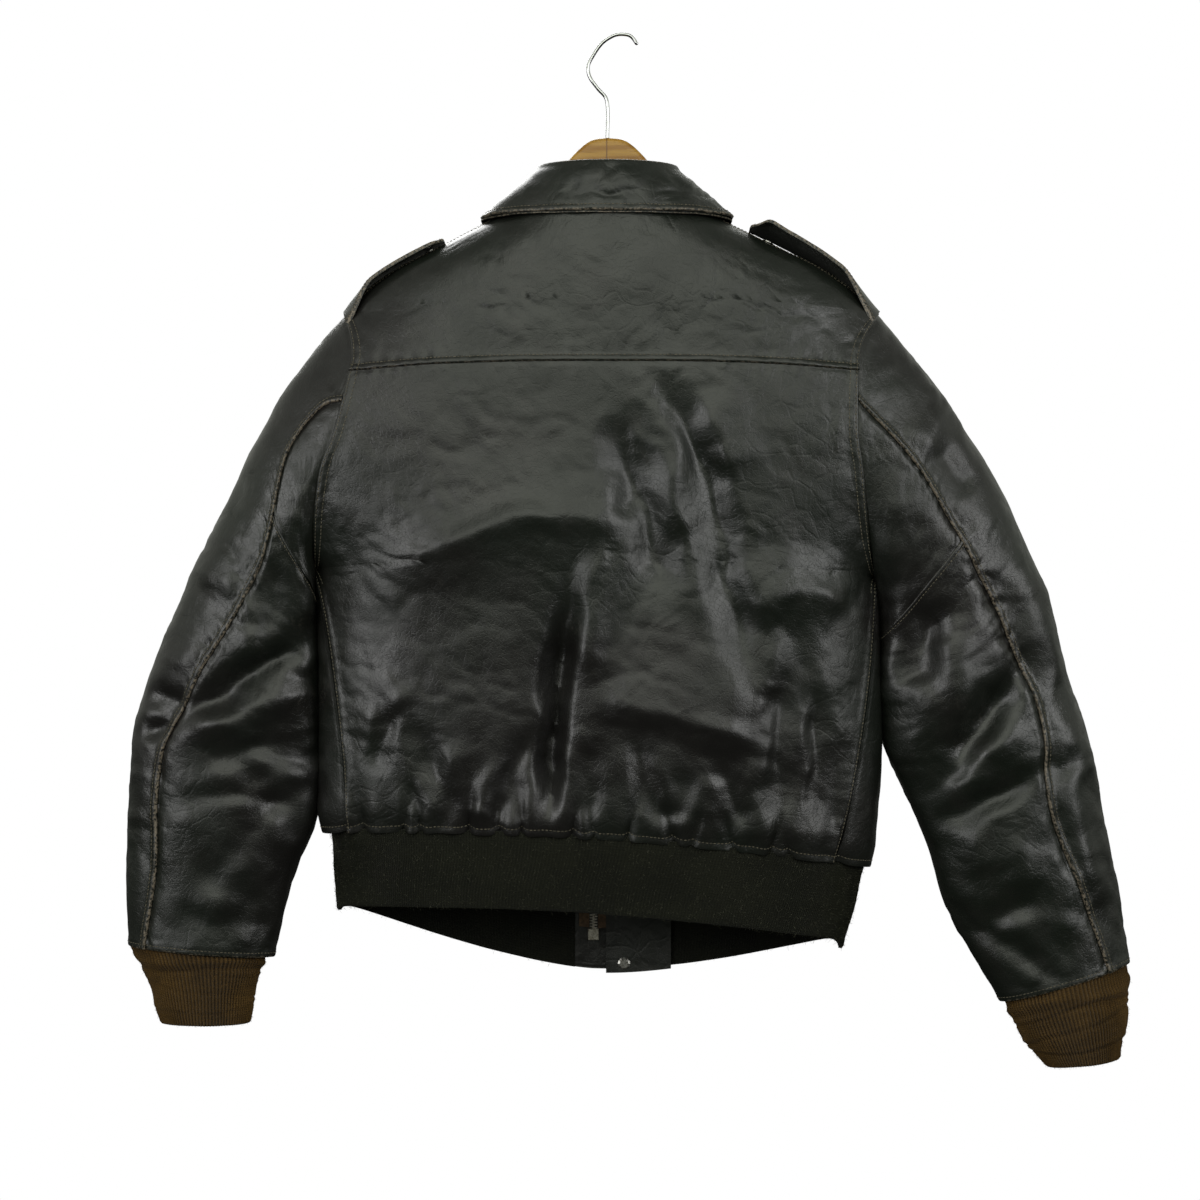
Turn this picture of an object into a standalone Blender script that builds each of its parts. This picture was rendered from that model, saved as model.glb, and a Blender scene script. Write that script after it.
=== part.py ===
"""A worn leather flight jacket with a knit waistband and cuffs, hanging on a wooden hanger.

The jacket is drawn in its own frame: x across it, rising towards the wearer's left, y from its
front (negative) to its back (positive), z up, all in millimetres. z is 0 at the inside of the
hanger hook's top, and every point is moved to that place and to metres when its mesh is made.
"""
import math

import bmesh
import bpy
import numpy as np
from mathutils import Vector

MM = 0.001
HOOK_X = -11.4                 # the hook's top lies this far from the jacket's middle line

# Thicknesses and gaps
LEATHER = 1.5
KNIT = 2.6
STRAP = 2.4
SEAM = 0.16                    # each piece stops this far short of the seam it shares
CLEAR = 0.35                   # between a piece and what it lies on

# Heights on the jacket's side, called levels
NECK = -148.0
TIP = -246.0                   # shoulder tip, the top of the armhole
UNDERARM = -473.0
HEM = -712.0                   # where the leather meets the knit waistband
BAND_END = -780.0
ARMHOLE_DEPTH = 52.0           # half of the armhole's width from front to back

FRONT_GAP = 5.0                # each front's edge from the zip's middle
ZIP_INSET = 3.2                # the zip's middle below the leather's outer face


def profile(*points):
    """A smooth curve through points that start with a rising key; returns a function of the key."""
    table = np.array(points, float)
    keys, values = table[:, 0], table[:, 1:]
    slopes = np.zeros_like(values)
    slopes[1:-1] = (values[2:] - values[:-2]) / (keys[2:] - keys[:-2])[:, None]
    slopes[0] = (values[1] - values[0]) / (keys[1] - keys[0])
    slopes[-1] = (values[-1] - values[-2]) / (keys[-1] - keys[-2])

    def at(key):
        key = np.clip(np.asarray(key, float), keys[0], keys[-1])
        i = np.clip(np.searchsorted(keys, key, side="right") - 1, 0, len(keys) - 2)
        step = keys[i + 1] - keys[i]
        t = ((key - keys[i]) / step)[..., None]
        step = step[..., None]
        found = (
            (1 + 2 * t) * (1 - t) ** 2 * values[i]
            + t * (1 - t) ** 2 * step * slopes[i]
            + t ** 2 * (3 - 2 * t) * values[i + 1]
            + t ** 2 * (t - 1) * step * slopes[i + 1]
        )
        return found[..., 0] if values.shape[1] == 1 else found

    return at


def ease(t):
    """0 to 1 with soft ends."""
    t = np.clip(t, 0, 1)
    return t * t * (3 - 2 * t)


def mix(a, b, t):
    return a + (b - a) * t


# The body's outline, as (level, left x, right x)
RIDGE = profile((TIP, 231, -238), (-232, 220, -224), (-218, 204, -206), (-204, 182, -184),
                (-187, 148, -149), (-168, 112, -110), (NECK, 77, -74))
ARMHOLE = profile((UNDERARM, 257, -234), (-449, 256, -228), (-422, 254, -224), (-387, 248, -220),
                  (-361, 238, -216), (-326, 229, -216), (-306, 225, -217), (-290, 222, -218),
                  (-270, 224, -224), (TIP, 231, -238))
SIDE = profile((HEM, 247, -229), (-704, 250, -232), (-690, 252, -234), (-650, 252.5, -237.6),
               (-600, 253, -239.4), (-540, 253.5, -239), (-490, 256, -236), (UNDERARM, 257, -234))
# (level, back depth, front depth, slope across, squareness)
FORM = profile((HEM, 55, 58, 0.065, 3.2), (-700, 59, 62, 0.062, 3.3), (-680, 62, 64, 0.057, 3.4),
               (-600, 65, 65, 0.04, 3.6), (UNDERARM, 67, 66, 0.014, 3.5), (-360, 67, 65, 0, 2.9),
               (TIP, 62, 62, 0, 2.5), (-190, 58, 63, 0, 2.2), (NECK, 52, 64, 0, 2.0))
# (level, rise of the back's middle, drop of the front's middle)
TILT = profile((HEM, 12, 50), (UNDERARM, 14, 48), (TIP, 10, 52), (-190, 4, 66), (NECK, 2, 76))
# The zip's middle line, as (level, x)
ZIP_LINE = profile((BAND_END, 13), (HEM, 12.5), (-500, 7), (NECK, 0))
# The seams between back and fronts, as (level, left x, right x)
SIDE_SEAM = profile((HEM, 226, -197), (-690, 228, -205), (-640, 231, -215), (-585, 237, -224),
                    (-540, 243, -229.5), (-500, 250, -232.5), (UNDERARM, 257, -234))
# The waistband, as (level, left x, right x, back depth, front depth, slope across, squareness)
BAND = profile((BAND_END, 237.5, -206.8, 51, 58, 0.067, 3.0), (-760, 239, -211.5, 52, 58, 0.067, 3.0),
               (-735, 240, -218.5, 53, 57, 0.066, 3.1), (HEM - 2 * SEAM, 245, -227, 53.5, 56.5, 0.065, 3.2))
BAND_RISE = 12.5               # rise of the band's back edge at its middle
BAND_DROP = 49.0               # drop of its front edge at the middle
# How far the band's lower corners hang down at the left and right side, and over what share of w
LEFT_DROOP = 5.0
RIGHT_DROOP = 9.5
DROOP_REACH = 0.24


def outline(level):
    """The body's left and right x at a level."""
    below = (level <= UNDERARM)[..., None]
    above = (level >= TIP)[..., None]
    return np.where(below, SIDE(level), np.where(above, RIDGE(level), ARMHOLE(level)))


def armhole_depth(level):
    middle = (TIP + UNDERARM) / 2
    reach = (TIP - UNDERARM) / 2
    return ARMHOLE_DEPTH * np.sqrt(np.clip(1 - ((level - middle) / reach) ** 2, 0, 1))


def body_base(w, level):
    """A point of the body: w is 0 at the back's middle, 1 and -1 at the sides, 2 at the front's middle."""
    w, level = np.broadcast_arrays(np.asarray(w, float), np.asarray(level, float))
    sides = outline(level)
    form = FORM(level)
    tilt = TILT(level)
    back = np.cos(np.pi * w / 2) > 0
    depth = np.where(back, form[..., 0], form[..., 1])
    square = form[..., 3]
    middle = (sides[..., 0] + sides[..., 1]) / 2
    half = (sides[..., 0] - sides[..., 1]) / 2 / open_share(level, depth, square)
    across = np.sin(np.pi * np.abs(w) / 2)
    share = np.clip(1 - np.abs(across) ** square, 0, 1)
    x = middle + np.sign(w) * half * across
    y = np.where(back, 1, -1) * depth * np.sqrt(share)
    rise = np.where(back, tilt[..., 0], -tilt[..., 1])
    z = level + form[..., 2] * x + rise * (1 - np.abs(across) ** np.where(back, 2, 1.6))
    return np.stack([x, y, z], -1)


def open_share(level, depth, square):
    """How much of the section's half width lies inside the armholes: 1 where there is no armhole."""
    return np.clip(1 - (armhole_depth(level) / depth) ** 2, 0, 1) ** (1 / square)


def side_w(level, back=True):
    """The w at which the body ends: at the armhole, or 1 at the ridge and down the side."""
    form = FORM(level)
    share = open_share(level, form[..., 0 if back else 1], form[..., 3])
    end = 2 / np.pi * np.arcsin(np.clip(share, 0, 1))
    return end if back else 2 - end


def w_at(x, level, side, back=True):
    """The w of the point at x, on the left (side 1) or right (side -1)."""
    sides = outline(level)
    form = FORM(level)
    share = open_share(level, form[..., 0 if back else 1], form[..., 3])
    middle = (sides[..., 0] + sides[..., 1]) / 2
    half = (sides[..., 0] - sides[..., 1]) / 2 / share
    found = 2 / np.pi * np.arcsin(np.clip(side * (x - middle) / half, -1, 1))
    return side * (found if back else 2 - found)


def unit(v):
    return v / np.maximum(np.linalg.norm(v, axis=-1, keepdims=True), 1e-9)


def normal_of(surface, a, b, step_a, step_b, outward):
    """Unit normals of a surface function at (a, b), pointing the way that outward gives."""
    along_a = surface(a + step_a, b) - surface(a - step_a, b)
    along_b = surface(a, b + step_b) - surface(a, b - step_b)
    normal = unit(np.cross(along_a, along_b))
    facing = np.sign(np.sum(normal * outward, axis=-1, keepdims=True))
    return normal * np.where(facing == 0, 1, facing)


def armhole_normal(level, back):
    """The way out from the armhole's own middle, shared by body and sleeve."""
    middle = (TIP + UNDERARM) / 2
    reach = (TIP - UNDERARM) / 2
    y = np.where(back, 1, -1) * armhole_depth(level) / ARMHOLE_DEPTH ** 2
    z = (level - middle) / reach ** 2
    return unit(np.stack([0 * y, y, z + 1e-9], -1))


def body_normal(w, level):
    w, level = np.broadcast_arrays(np.asarray(w, float), np.asarray(level, float))
    point = body_base(w, level)
    outward = point * [0.1, 1, 0] + [0, 0, 0.001]
    outward[..., 0] += np.where(np.abs(point[..., 1]) < 8, np.sign(w) * 20, 0)
    inner_level = np.clip(level, HEM + 0.5, NECK - 0.5)
    normal = normal_of(body_base, w, inner_level, 0.004, 0.5, outward)
    back = np.cos(np.pi * w / 2) > 0
    end = np.where(back, side_w(level, True), side_w(level, False))
    near = 1 - ease(np.abs(end - np.abs(w)) / 0.06)
    near = np.where((level < TIP + 0.1) & (level > UNDERARM - 0.1), near, 0)[..., None]
    return unit(mix(normal, armhole_normal(level, back), near))


# Folds: depth below the surface (a ridge is negative), half width, and the line's (x, z) points
BACK_FOLDS = [
    (11, 15, [(27, -425), (31, -474), (38, -550), (43, -626), (48, -690)]),
    (-4, 12, [(6, -470), (12, -540), (18, -620), (22, -680)]),
    (8.5, 15, [(-34, -292), (-63, -342), (-78, -371), (-91, -413), (-88, -440), (-104, -500),
               (-127, -584), (-134, -602)]),
    (4.5, 14, [(-10, -357), (-10, -376), (-34, -421), (-42, -448), (-29, -474), (-20, -514)]),
    (-7.5, 26, [(190, -480), (127, -449), (93, -436), (54, -423), (10, -428), (-20, -442)]),
    (-7, 15, [(-134, -537), (-151, -584), (-145, -620), (-149, -676)]),
    (9, 15, [(-150, -505), (-166, -546), (-178, -593), (-169, -684)]),
    (-4.5, 13, [(10, -586), (-46, -600), (-134, -618)]),
    (4, 13, [(-18, -612), (-39, -660), (-20, -700)]),
    (4.5, 13, [(185, -642), (160, -672), (143, -700)]),
    (5, 13, [(68, -597), (90, -648), (95, -700)]),
    (3, 15, [(-43, -240), (-51, -267), (-63, -284)]),
]
FRONT_FOLDS = [
    (5, 18, [(130, -420), (120, -520), (126, -640), (122, -720)]),
    (5, 18, [(-128, -400), (-112, -500), (-120, -620), (-116, -730)]),
    (-5, 26, [(205, -500), (150, -540), (90, -560)]),
    (-5, 26, [(-205, -500), (-150, -545), (-85, -570)]),
    (3, 16, [(170, -640), (160, -700)]),
    (3, 16, [(-165, -640), (-155, -700)]),
]
GATHERS = 14
GATHER_DEPTH = 2.6
GATHER_HALF_WIDTH = 9.0
GATHER_LENGTH = 52.0
LEFT_SLEEVE_FOLDS = [
    (8, 15, [(366, -600), (325, -568), (297, -553), (279, -543), (262, -525)]),
    (5, 13, [(404, -578), (386, -584), (368, -588)]),
    (5, 13, [(412, -610), (395, -607), (375, -603)]),
    (-5, 14, [(362, -612), (310, -593), (262, -577)]),
    (5, 14, [(353, -640), (300, -619), (262, -622)]),
    (4, 14, [(372, -670), (318, -661), (268, -680)]),
    (-4, 14, [(340, -760), (314, -712), (282, -682)]),
    (3, 14, [(402, -690), (398, -740), (404, -780)]),
]
RIGHT_SLEEVE_FOLDS = [
    (-4, 18, [(-280, -310), (-300, -330)]),
    (6, 18, [(-262, -490), (-275, -520), (-268, -556)]),
    (-7, 24, [(-290, -530), (-305, -566), (-300, -600)]),
    (8, 15, [(-357, -552), (-336, -592), (-304, -643), (-290, -656)]),
    (5, 13, [(-304, -684), (-340, -668), (-368, -650)]),
    (5, 13, [(-293, -757), (-326, -784), (-360, -806), (-398, -832)]),
    (4, 12, [(-326, -786), (-350, -770), (-374, -760)]),
    (-4, 16, [(-402, -640), (-412, -700), (-420, -740)]),
]


def fold_lift(x, z, folds):
    """How far the folds move a surface outwards at (x, z)."""
    lift = np.zeros_like(x)
    for depth, half_width, line in folds:
        points = np.array(line, float)
        steps = np.linalg.norm(np.diff(points, axis=0), axis=1)
        length = steps.sum()
        begun = 0.0
        nearest = np.full_like(x, 1e9)
        place = np.zeros_like(x)
        for (ax, az), (bx, bz), step in zip(points[:-1], points[1:], steps):
            t = np.clip(((x - ax) * (bx - ax) + (z - az) * (bz - az)) / step ** 2, 0, 1)
            away = np.hypot(x - ax - t * (bx - ax), z - az - t * (bz - az))
            closer = away < nearest
            nearest = np.where(closer, away, nearest)
            place = np.where(closer, (begun + t * step) / length, place)
            begun += step
        bell = np.exp(-(nearest / half_width) ** 2 * 1.6)
        lift -= depth * bell * (0.35 + 0.65 * np.sin(np.pi * np.clip(place, 0, 1)) ** 0.7)
    return lift


def gather_lift(x, z, hem):
    """The gathers above the waistband, which fade upwards."""
    height = np.clip((z - hem) / GATHER_LENGTH, 0, 1)
    lift = np.zeros_like(x)
    for i in range(GATHERS):
        middle = 212 - 30.5 * i + 6 * math.sin(2.3 * i)
        lean = 10 * math.sin(1.7 * i + 0.6)
        bell = np.exp(-((x - middle - lean * height) / GATHER_HALF_WIDTH) ** 2)
        lift -= GATHER_DEPTH * (1 + 0.35 * math.sin(3.1 * i)) * bell
    return lift * (1 - ease(height))


def body_lift(w, level):
    """The folds' shift along the body's normal, soft towards armholes, ridge and zip."""
    point = body_base(w, level)
    x, z = point[..., 0], point[..., 2]
    back = np.cos(np.pi * w / 2) > 0
    lift = np.where(back, fold_lift(x, z, BACK_FOLDS), fold_lift(x, z + 50, FRONT_FOLDS))
    hem = HEM + 0.06 * x + np.where(back, 8, -40)
    lift = lift * ease((level - HEM + 6) / 34) + gather_lift(x, z, hem)
    end = np.where(back, side_w(level, True), side_w(level, False))
    armhole = (level < TIP + 20) & (level > UNDERARM - 10)
    lift = lift * np.where(armhole, ease(np.abs(end - np.abs(w)) / 0.12), 1)
    lift = lift * np.where(back, 1, ease((np.abs(x - ZIP_LINE(level)) - 20) / 25))
    return lift * ease((NECK - level) / 20) * ease(np.abs(np.abs(w) - 1) / 0.15)


def body(w, level, out=0.0):
    """A point of the body's outer face, moved out by a distance along its normal."""
    w, level = np.broadcast_arrays(np.asarray(w, float), np.asarray(level, float))
    return body_base(w, level) + body_normal(w, level) * (body_lift(w, level) + out)[..., None]


def band(w, level, out=0.0):
    """A point of the waistband's outer face."""
    w, level = np.broadcast_arrays(np.asarray(w, float), np.asarray(level, float))

    def face(w, level):
        form = BAND(level)
        back = np.cos(np.pi * w / 2) > 0
        across = np.sin(np.pi * np.abs(w) / 2)
        share = np.clip(1 - np.abs(across) ** form[..., 5], 0, 1)
        middle = (form[..., 0] + form[..., 1]) / 2
        half = (form[..., 0] - form[..., 1]) / 2
        x = middle + np.sign(w) * half * across
        y = np.where(back, form[..., 2], -form[..., 3]) * np.sqrt(share)
        rise = np.where(back, BAND_RISE, -BAND_DROP)
        z = level + form[..., 4] * x + rise * (1 - np.abs(across) ** np.where(back, 2, 1.6))
        corner = np.clip(1 - np.abs(np.abs(w) - 1) / DROOP_REACH, 0, 1) ** 2
        lower = ease((HEM - level) / (HEM - BAND_END))
        z = z - np.where(w > 0, LEFT_DROOP, RIGHT_DROOP) * corner * lower
        return np.stack([x, y, z], -1)

    point = face(w, level)
    outward = point * [0.1, 1, 0]
    outward[..., 0] += np.where(np.abs(point[..., 1]) < 8, np.sign(w) * 20, 0)
    inner_level = np.clip(level, BAND_END + 0.5, HEM - 1)
    out = np.asarray(out, float)[..., None]
    return point + normal_of(face, w, inner_level, 0.004, 0.5, outward) * out


def band_w(x, level, side):
    """The w of a front point of the waistband."""
    form = BAND(level)
    middle = (form[..., 0] + form[..., 1]) / 2
    half = (form[..., 0] - form[..., 1]) / 2
    return side * (2 - 2 / np.pi * np.arcsin(np.clip(side * (x - middle) / half, -1, 1)))


# Sleeves, as (share of the length, outer x, outer z, inner x, inner z, half depth, y, seam share)
# The seam share is where the elbow seam lies between outer and inner edge, seen from behind.
LEFT_SLEEVE = profile(
    (0.00, 231, -246, 257, -473, 52, 0, 0.3706), (0.10, 260, -279, 258, -486, 50, 0, 0.27),
    (0.20, 288, -318, 257.4, -498, 48, 0, 0.27), (0.30, 313, -362, 256.5, -511, 46, -1, 0.41),
    (0.40, 334, -406, 255.5, -528, 45, -2, 0.45), (0.50, 356, -451, 254.9, -549, 44, -3, 0.42),
    (0.58, 374, -488, 254.6, -570, 43, -4, 0.38), (0.66, 394, -535, 254.4, -595, 42, -5, 0.31),
    (0.73, 409, -576, 254.2, -623, 41, -6, 0.26), (0.79, 420, -615, 254.2, -651, 40, -7, 0.20),
    (0.86, 423, -672, 257, -688, 38, -8, 0.17), (0.93, 426, -734, 278, -743, 36, -10, 0.20),
    (1.00, 424, -801, 295, -811, 34, -12, 0.14))
RIGHT_SLEEVE = profile(
    (0.00, -238, -246, -234, -473, 52, 0, 0.3706), (0.10, -265, -278, -236.5, -485, 50, 0, 0.36),
    (0.20, -290, -311, -238, -497, 48, 0, 0.365), (0.30, -315, -347, -239.2, -510, 46, -1, 0.385),
    (0.40, -345, -396, -240.1, -528, 45, -2, 0.37), (0.50, -364, -437, -240.6, -549, 44, -3, 0.34),
    (0.58, -380, -473, -240.9, -570, 43, -4, 0.305), (0.66, -393, -509, -241.3, -595, 42, -5, 0.28),
    (0.73, -404, -560, -245, -623, 41, -6, 0.22), (0.79, -420, -603, -258, -651, 40, -7, 0.25),
    (0.86, -434, -664, -280, -706, 38, -8, 0.32), (0.93, -449, -743, -298, -766, 36, -10, 0.25),
    (1.00, -461, -816, -346, -851, 34, -12, 0.20))
# Cuffs, as (share, outer x, outer z, inner x, inner z, half depth, y)
LEFT_CUFF = profile(
    (0.0, 421, -801.6, 303, -811.6, 31, -12), (0.35, 409, -825, 309, -829, 29, -12.5),
    (0.6, 402, -845, 313, -847, 28, -13), (1.0, 396, -870, 317, -870, 26, -14))
RIGHT_CUFF = profile(
    (0.0, -457.8, -817.2, -351.3, -849.7, 31, -12), (0.35, -460, -846, -361, -872, 29, -12.5),
    (0.6, -459, -868, -372, -889, 28, -13), (1.0, -453, -901, -389, -909, 25, -14))
FRONT_SEAM = 255.0             # the hidden front seam of each sleeve, in degrees round the ring
SLEEVE_FADE = 0.32             # share of the sleeve over which its head takes up the armhole's shape


def ring(form, turn, share):
    """A point of a tube: turn is 0 at its outer edge, 90 at the back and 180 at its inner edge."""
    at = form(share)
    angle = np.radians(turn)
    outer = np.stack([at[..., 0], at[..., 5], at[..., 1]], -1)
    inner = np.stack([at[..., 2], at[..., 5], at[..., 3]], -1)
    across = (outer - inner) / 2
    point = (outer + inner) / 2 + across * np.cos(angle)[..., None]
    point[..., 1] += at[..., 4] * np.sin(angle)
    return point


def sleeve_base(form, side, turn, share):
    turn, share = np.broadcast_arrays(np.asarray(turn, float), np.asarray(share, float))
    level = (TIP + UNDERARM) / 2 + (TIP - UNDERARM) / 2 * np.cos(np.radians(turn))
    back = np.sin(np.radians(turn)) >= 0
    end = np.where(back, side_w(level, True), side_w(level, False))
    shift = body_base(side * end, level) - ring(form, turn, 0 * share)
    fade = (1 - ease(share / SLEEVE_FADE))[..., None]
    return ring(form, turn, share) + shift * fade


def sleeve(form, side, folds, turn, share, out=0.0):
    """A point of a sleeve's outer face."""
    turn, share = np.broadcast_arrays(np.asarray(turn, float), np.asarray(share, float))

    def face(turn, share):
        return sleeve_base(form, side, turn, share)

    point = face(turn, share)
    at = form(share)
    middle = np.stack([(at[..., 0] + at[..., 2]) / 2, at[..., 5], (at[..., 1] + at[..., 3]) / 2], -1)
    inner_share = np.clip(share, 0.003, 0.997)
    normal = normal_of(face, turn, inner_share, 1.0, 0.003, point - middle)
    level = (TIP + UNDERARM) / 2 + (TIP - UNDERARM) / 2 * np.cos(np.radians(turn))
    facing = np.sin(np.radians(turn))
    near = (1 - ease(share / 0.05))[..., None]
    normal = unit(mix(normal, armhole_normal(level, facing >= 0), near))
    lift = fold_lift(point[..., 0], point[..., 2], folds) * np.clip(facing, 0, 1) ** 0.6
    lift = lift + 0.7 * fold_lift(point[..., 0], point[..., 2] + 14, folds) * np.clip(-facing, 0, 1) ** 0.6
    lift = lift * ease(share / 0.12) * ease((1.02 - share) / 0.06)
    return point + normal * (lift + out)[..., None]


# Meshes

def material(name, colour, roughness, metallic=0.0):
    made = bpy.data.materials.new(name)
    made.use_nodes = True
    shader = made.node_tree.nodes["Principled BSDF"]
    shader.inputs["Base Color"].default_value = (*colour, 1)
    shader.inputs["Roughness"].default_value = roughness
    shader.inputs["Metallic"].default_value = metallic
    return made


def finish(name, mesh, surface, smooth=True, origin=None):
    """Adds an object whose mesh is in millimetres, in the jacket's frame or about an origin there."""
    mesh.normal_update()
    if mesh.calc_volume(signed=True) < 0:
        bmesh.ops.reverse_faces(mesh, faces=mesh.faces)
    for vertex in mesh.verts:
        if origin is None:
            vertex.co.x -= HOOK_X
        vertex.co *= MM
    data = bpy.data.meshes.new(name)
    mesh.to_mesh(data)
    mesh.free()
    data.materials.append(surface)
    if smooth:
        data.shade_smooth()
        data.set_sharp_from_angle(angle=math.radians(40))
    made = bpy.data.objects.new(name, data)
    if origin is not None:
        made.location = ((origin[0] - HOOK_X) * MM, origin[1] * MM, origin[2] * MM)
    bpy.context.scene.collection.objects.link(made)


def trimmed(grid, closed, gap=SEAM):
    """Pulls a grid's edges in by the seam's gap."""
    grid = grid.copy()
    ends = [(0, 1), (-1, -2)]
    for edge, inside in ends:
        step = grid[:, inside] - grid[:, edge]
        grid[:, edge] += unit(step) * gap
    if not closed:
        for edge, inside in ends:
            step = grid[inside] - grid[edge]
            grid[edge] += unit(step) * gap
    return grid


def wall(name, outer, inner, surface, closed=False, gap=SEAM):
    """A closed wall between two grids of points; a closed one runs round a tube."""
    outer = trimmed(outer, closed, gap)
    inner = trimmed(inner, closed, gap)
    across, along = outer.shape[:2]
    mesh = bmesh.new()
    faces = [[[mesh.verts.new(p) for p in row] for row in grid] for grid in (outer, inner)]
    top, under = faces
    turns = across if closed else across - 1
    for i in range(turns):
        j = (i + 1) % across
        for k in range(along - 1):
            mesh.faces.new((top[i][k], top[j][k], top[j][k + 1], top[i][k + 1]))
            mesh.faces.new((under[i][k + 1], under[j][k + 1], under[j][k], under[i][k]))
        for k in (0, along - 1):
            ends = (top[i][k], under[i][k], under[j][k], top[j][k])
            mesh.faces.new(ends if k == 0 else ends[::-1])
    if not closed:
        for i in (0, across - 1):
            for k in range(along - 1):
                side = (top[i][k], top[i][k + 1], under[i][k + 1], under[i][k])
                mesh.faces.new(side if i == 0 else side[::-1])
    return finish(name, mesh, surface)


# Levels of the body's rows
ARMHOLE_STEPS = 12             # half the points round the armhole, the same for body and sleeve


def armhole_levels():
    """Levels up the armhole, closer together at its top and bottom."""
    turn = np.linspace(np.pi, 0, ARMHOLE_STEPS + 1)
    return (TIP + UNDERARM) / 2 + (TIP - UNDERARM) / 2 * np.cos(turn)


def body_levels():
    """Every row of the body from the waistband to the neck."""
    side = np.linspace(HEM, UNDERARM, 10)[:-1]
    ridge = mix(TIP, NECK, np.linspace(0, 1, 6)[1:] ** 0.9)
    return np.concatenate([side, armhole_levels(), ridge])


# The yoke seam's level across the back, from the right armhole (-1) to the left (1)
YOKE_SEAM = profile((-1.0, -302.75), (-0.6, -302), (0, -303), (0.6, -302), (1.0, -302.75))


def body_patch(across, rows, side_evenness=0.6):
    """Maps u, 0 at the right edge and 1 at the left, to the back's w at given levels."""
    right = -side_w(rows, True)
    left = side_w(rows, True)
    seam = SIDE_SEAM(rows)
    below = rows < UNDERARM
    right = np.where(below, w_at(seam[..., 1], rows, -1), right)
    left = np.where(below, w_at(seam[..., 0], rows, 1), left)
    by_turn = mix(right, left, across)
    by_x = 2 / np.pi * np.arcsin(mix(np.sin(np.pi * right / 2), np.sin(np.pi * left / 2), across))
    return mix(by_turn, by_x, side_evenness)


def bent_rows(levels, across, edge, bent, fixed):
    """Rows whose level follows a curved seam at one end and stays flat at the other."""
    rows = np.broadcast_to(levels[None, :], across.shape)
    share = ease((rows - fixed) / (edge - fixed))
    return rows + (bent - edge) * share


def make_back(leather):
    levels = body_levels()
    seam = int(np.argmin(np.abs(levels - YOKE_SEAM(1.0))))
    for name, rows, columns, fixed in (
        ("back_panel", levels[:seam + 1], 37, UNDERARM), ("back_yoke", levels[seam:], 21, TIP)
    ):
        across = np.repeat(np.linspace(0, 1, columns)[:, None], len(rows), axis=1)
        rows = bent_rows(rows, across, levels[seam], YOKE_SEAM(2 * across - 1), fixed)
        w = body_patch(across, rows)
        wall(name, body(w, rows), body(w, rows, -LEATHER), leather)


def front_edge(levels, side, offset):
    """The w of a line beside the zip, offset towards the side."""
    return w_at(ZIP_LINE(levels) + side * offset, levels, side, False)


def make_fronts(leather):
    for name, side in (("front_left", 1), ("front_right", -1)):
        u, rows = np.meshgrid(np.linspace(0, 1, 11), body_levels(), indexing="ij")
        seam = SIDE_SEAM(rows)[..., 0 if side > 0 else 1]
        start = np.where(rows < UNDERARM, np.abs(w_at(seam, rows, side)), side_w(rows, False))
        stop = np.abs(front_edge(rows, side, FRONT_GAP))
        w = side * mix(start, stop, u)
        wall(name, body(w, rows), body(w, rows, -LEATHER), leather)


GUSSET_ROWS = 7
GUSSET_GAP = 0.36              # pulls the under-arm pieces in a little more at their bent seams
SLEEVE_ROWS = 14


def make_sleeves(leather):
    for name, side, form, folds, gusset in (
        ("left", 1, LEFT_SLEEVE, LEFT_SLEEVE_FOLDS, (0.30, 0.20)),
        ("right", -1, RIGHT_SLEEVE, RIGHT_SLEEVE_FOLDS, (0.40, 0.40)),
    ):
        def seam_turn(share):
            return np.degrees(np.arccos(np.clip(1 - 2 * form(share)[..., 6], -1, 1)))

        def place(turn, share, out):
            return sleeve(form, side, folds, turn, share, out)

        def rows(split):
            """Shares of the sleeve's rows, with the same number above and below the under-arm seam."""
            head = split[..., None] * np.linspace(0, 1, GUSSET_ROWS)
            rest = mix(split[..., None], 1.0, np.linspace(0, 1, SLEEVE_ROWS)[1:])
            return np.concatenate([head, rest], -1)

        u = np.linspace(0, 1, ARMHOLE_STEPS + 1)
        share = rows(mix(gusset[1], gusset[0], ease(u / 0.6)))
        turn = mix(FRONT_SEAM - 360, seam_turn(share), u[:, None])
        wall(f"sleeve_upper_{name}", place(turn, share, 0.0), place(turn, share, -LEATHER), leather)
        share = rows(mix(gusset[0], gusset[1], ease(u / 0.6)))
        turn = mix(seam_turn(share), FRONT_SEAM, u[:, None])
        for part, first, last in (
            ("sleeve_gusset", 0, GUSSET_ROWS), ("sleeve_under", GUSSET_ROWS - 1, GUSSET_ROWS + SLEEVE_ROWS)
        ):
            at = (turn[:, first:last], share[:, first:last])
            wall(f"{part}_{name}", place(*at, 0.0), place(*at, -LEATHER), leather, gap=GUSSET_GAP)


CUFF_RIBS = 34
RIB_HEIGHT = 0.9


def make_cuffs(knit):
    for name, form in (("left", LEFT_CUFF), ("right", RIGHT_CUFF)):
        u, share = np.meshgrid(np.arange(2 * CUFF_RIBS), np.linspace(0, 1, 3), indexing="ij")
        turn = 360 * u / (2 * CUFF_RIBS)
        angle = np.radians(turn)
        at = form(share)
        width = np.stack([at[..., 0] - at[..., 2], 0 * share, at[..., 1] - at[..., 3]], -1) / 2
        depth = np.stack([0 * angle, np.sin(angle), 0 * angle], -1)
        out = unit(unit(width) * np.cos(angle)[..., None] + depth)
        point = ring(form, turn, share)
        raised = np.where(u % 2 == 0, RIB_HEIGHT, 0.0)[..., None]
        wall(f"cuff_{name}", point + out * raised, point - out * KNIT, knit, closed=True)


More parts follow.
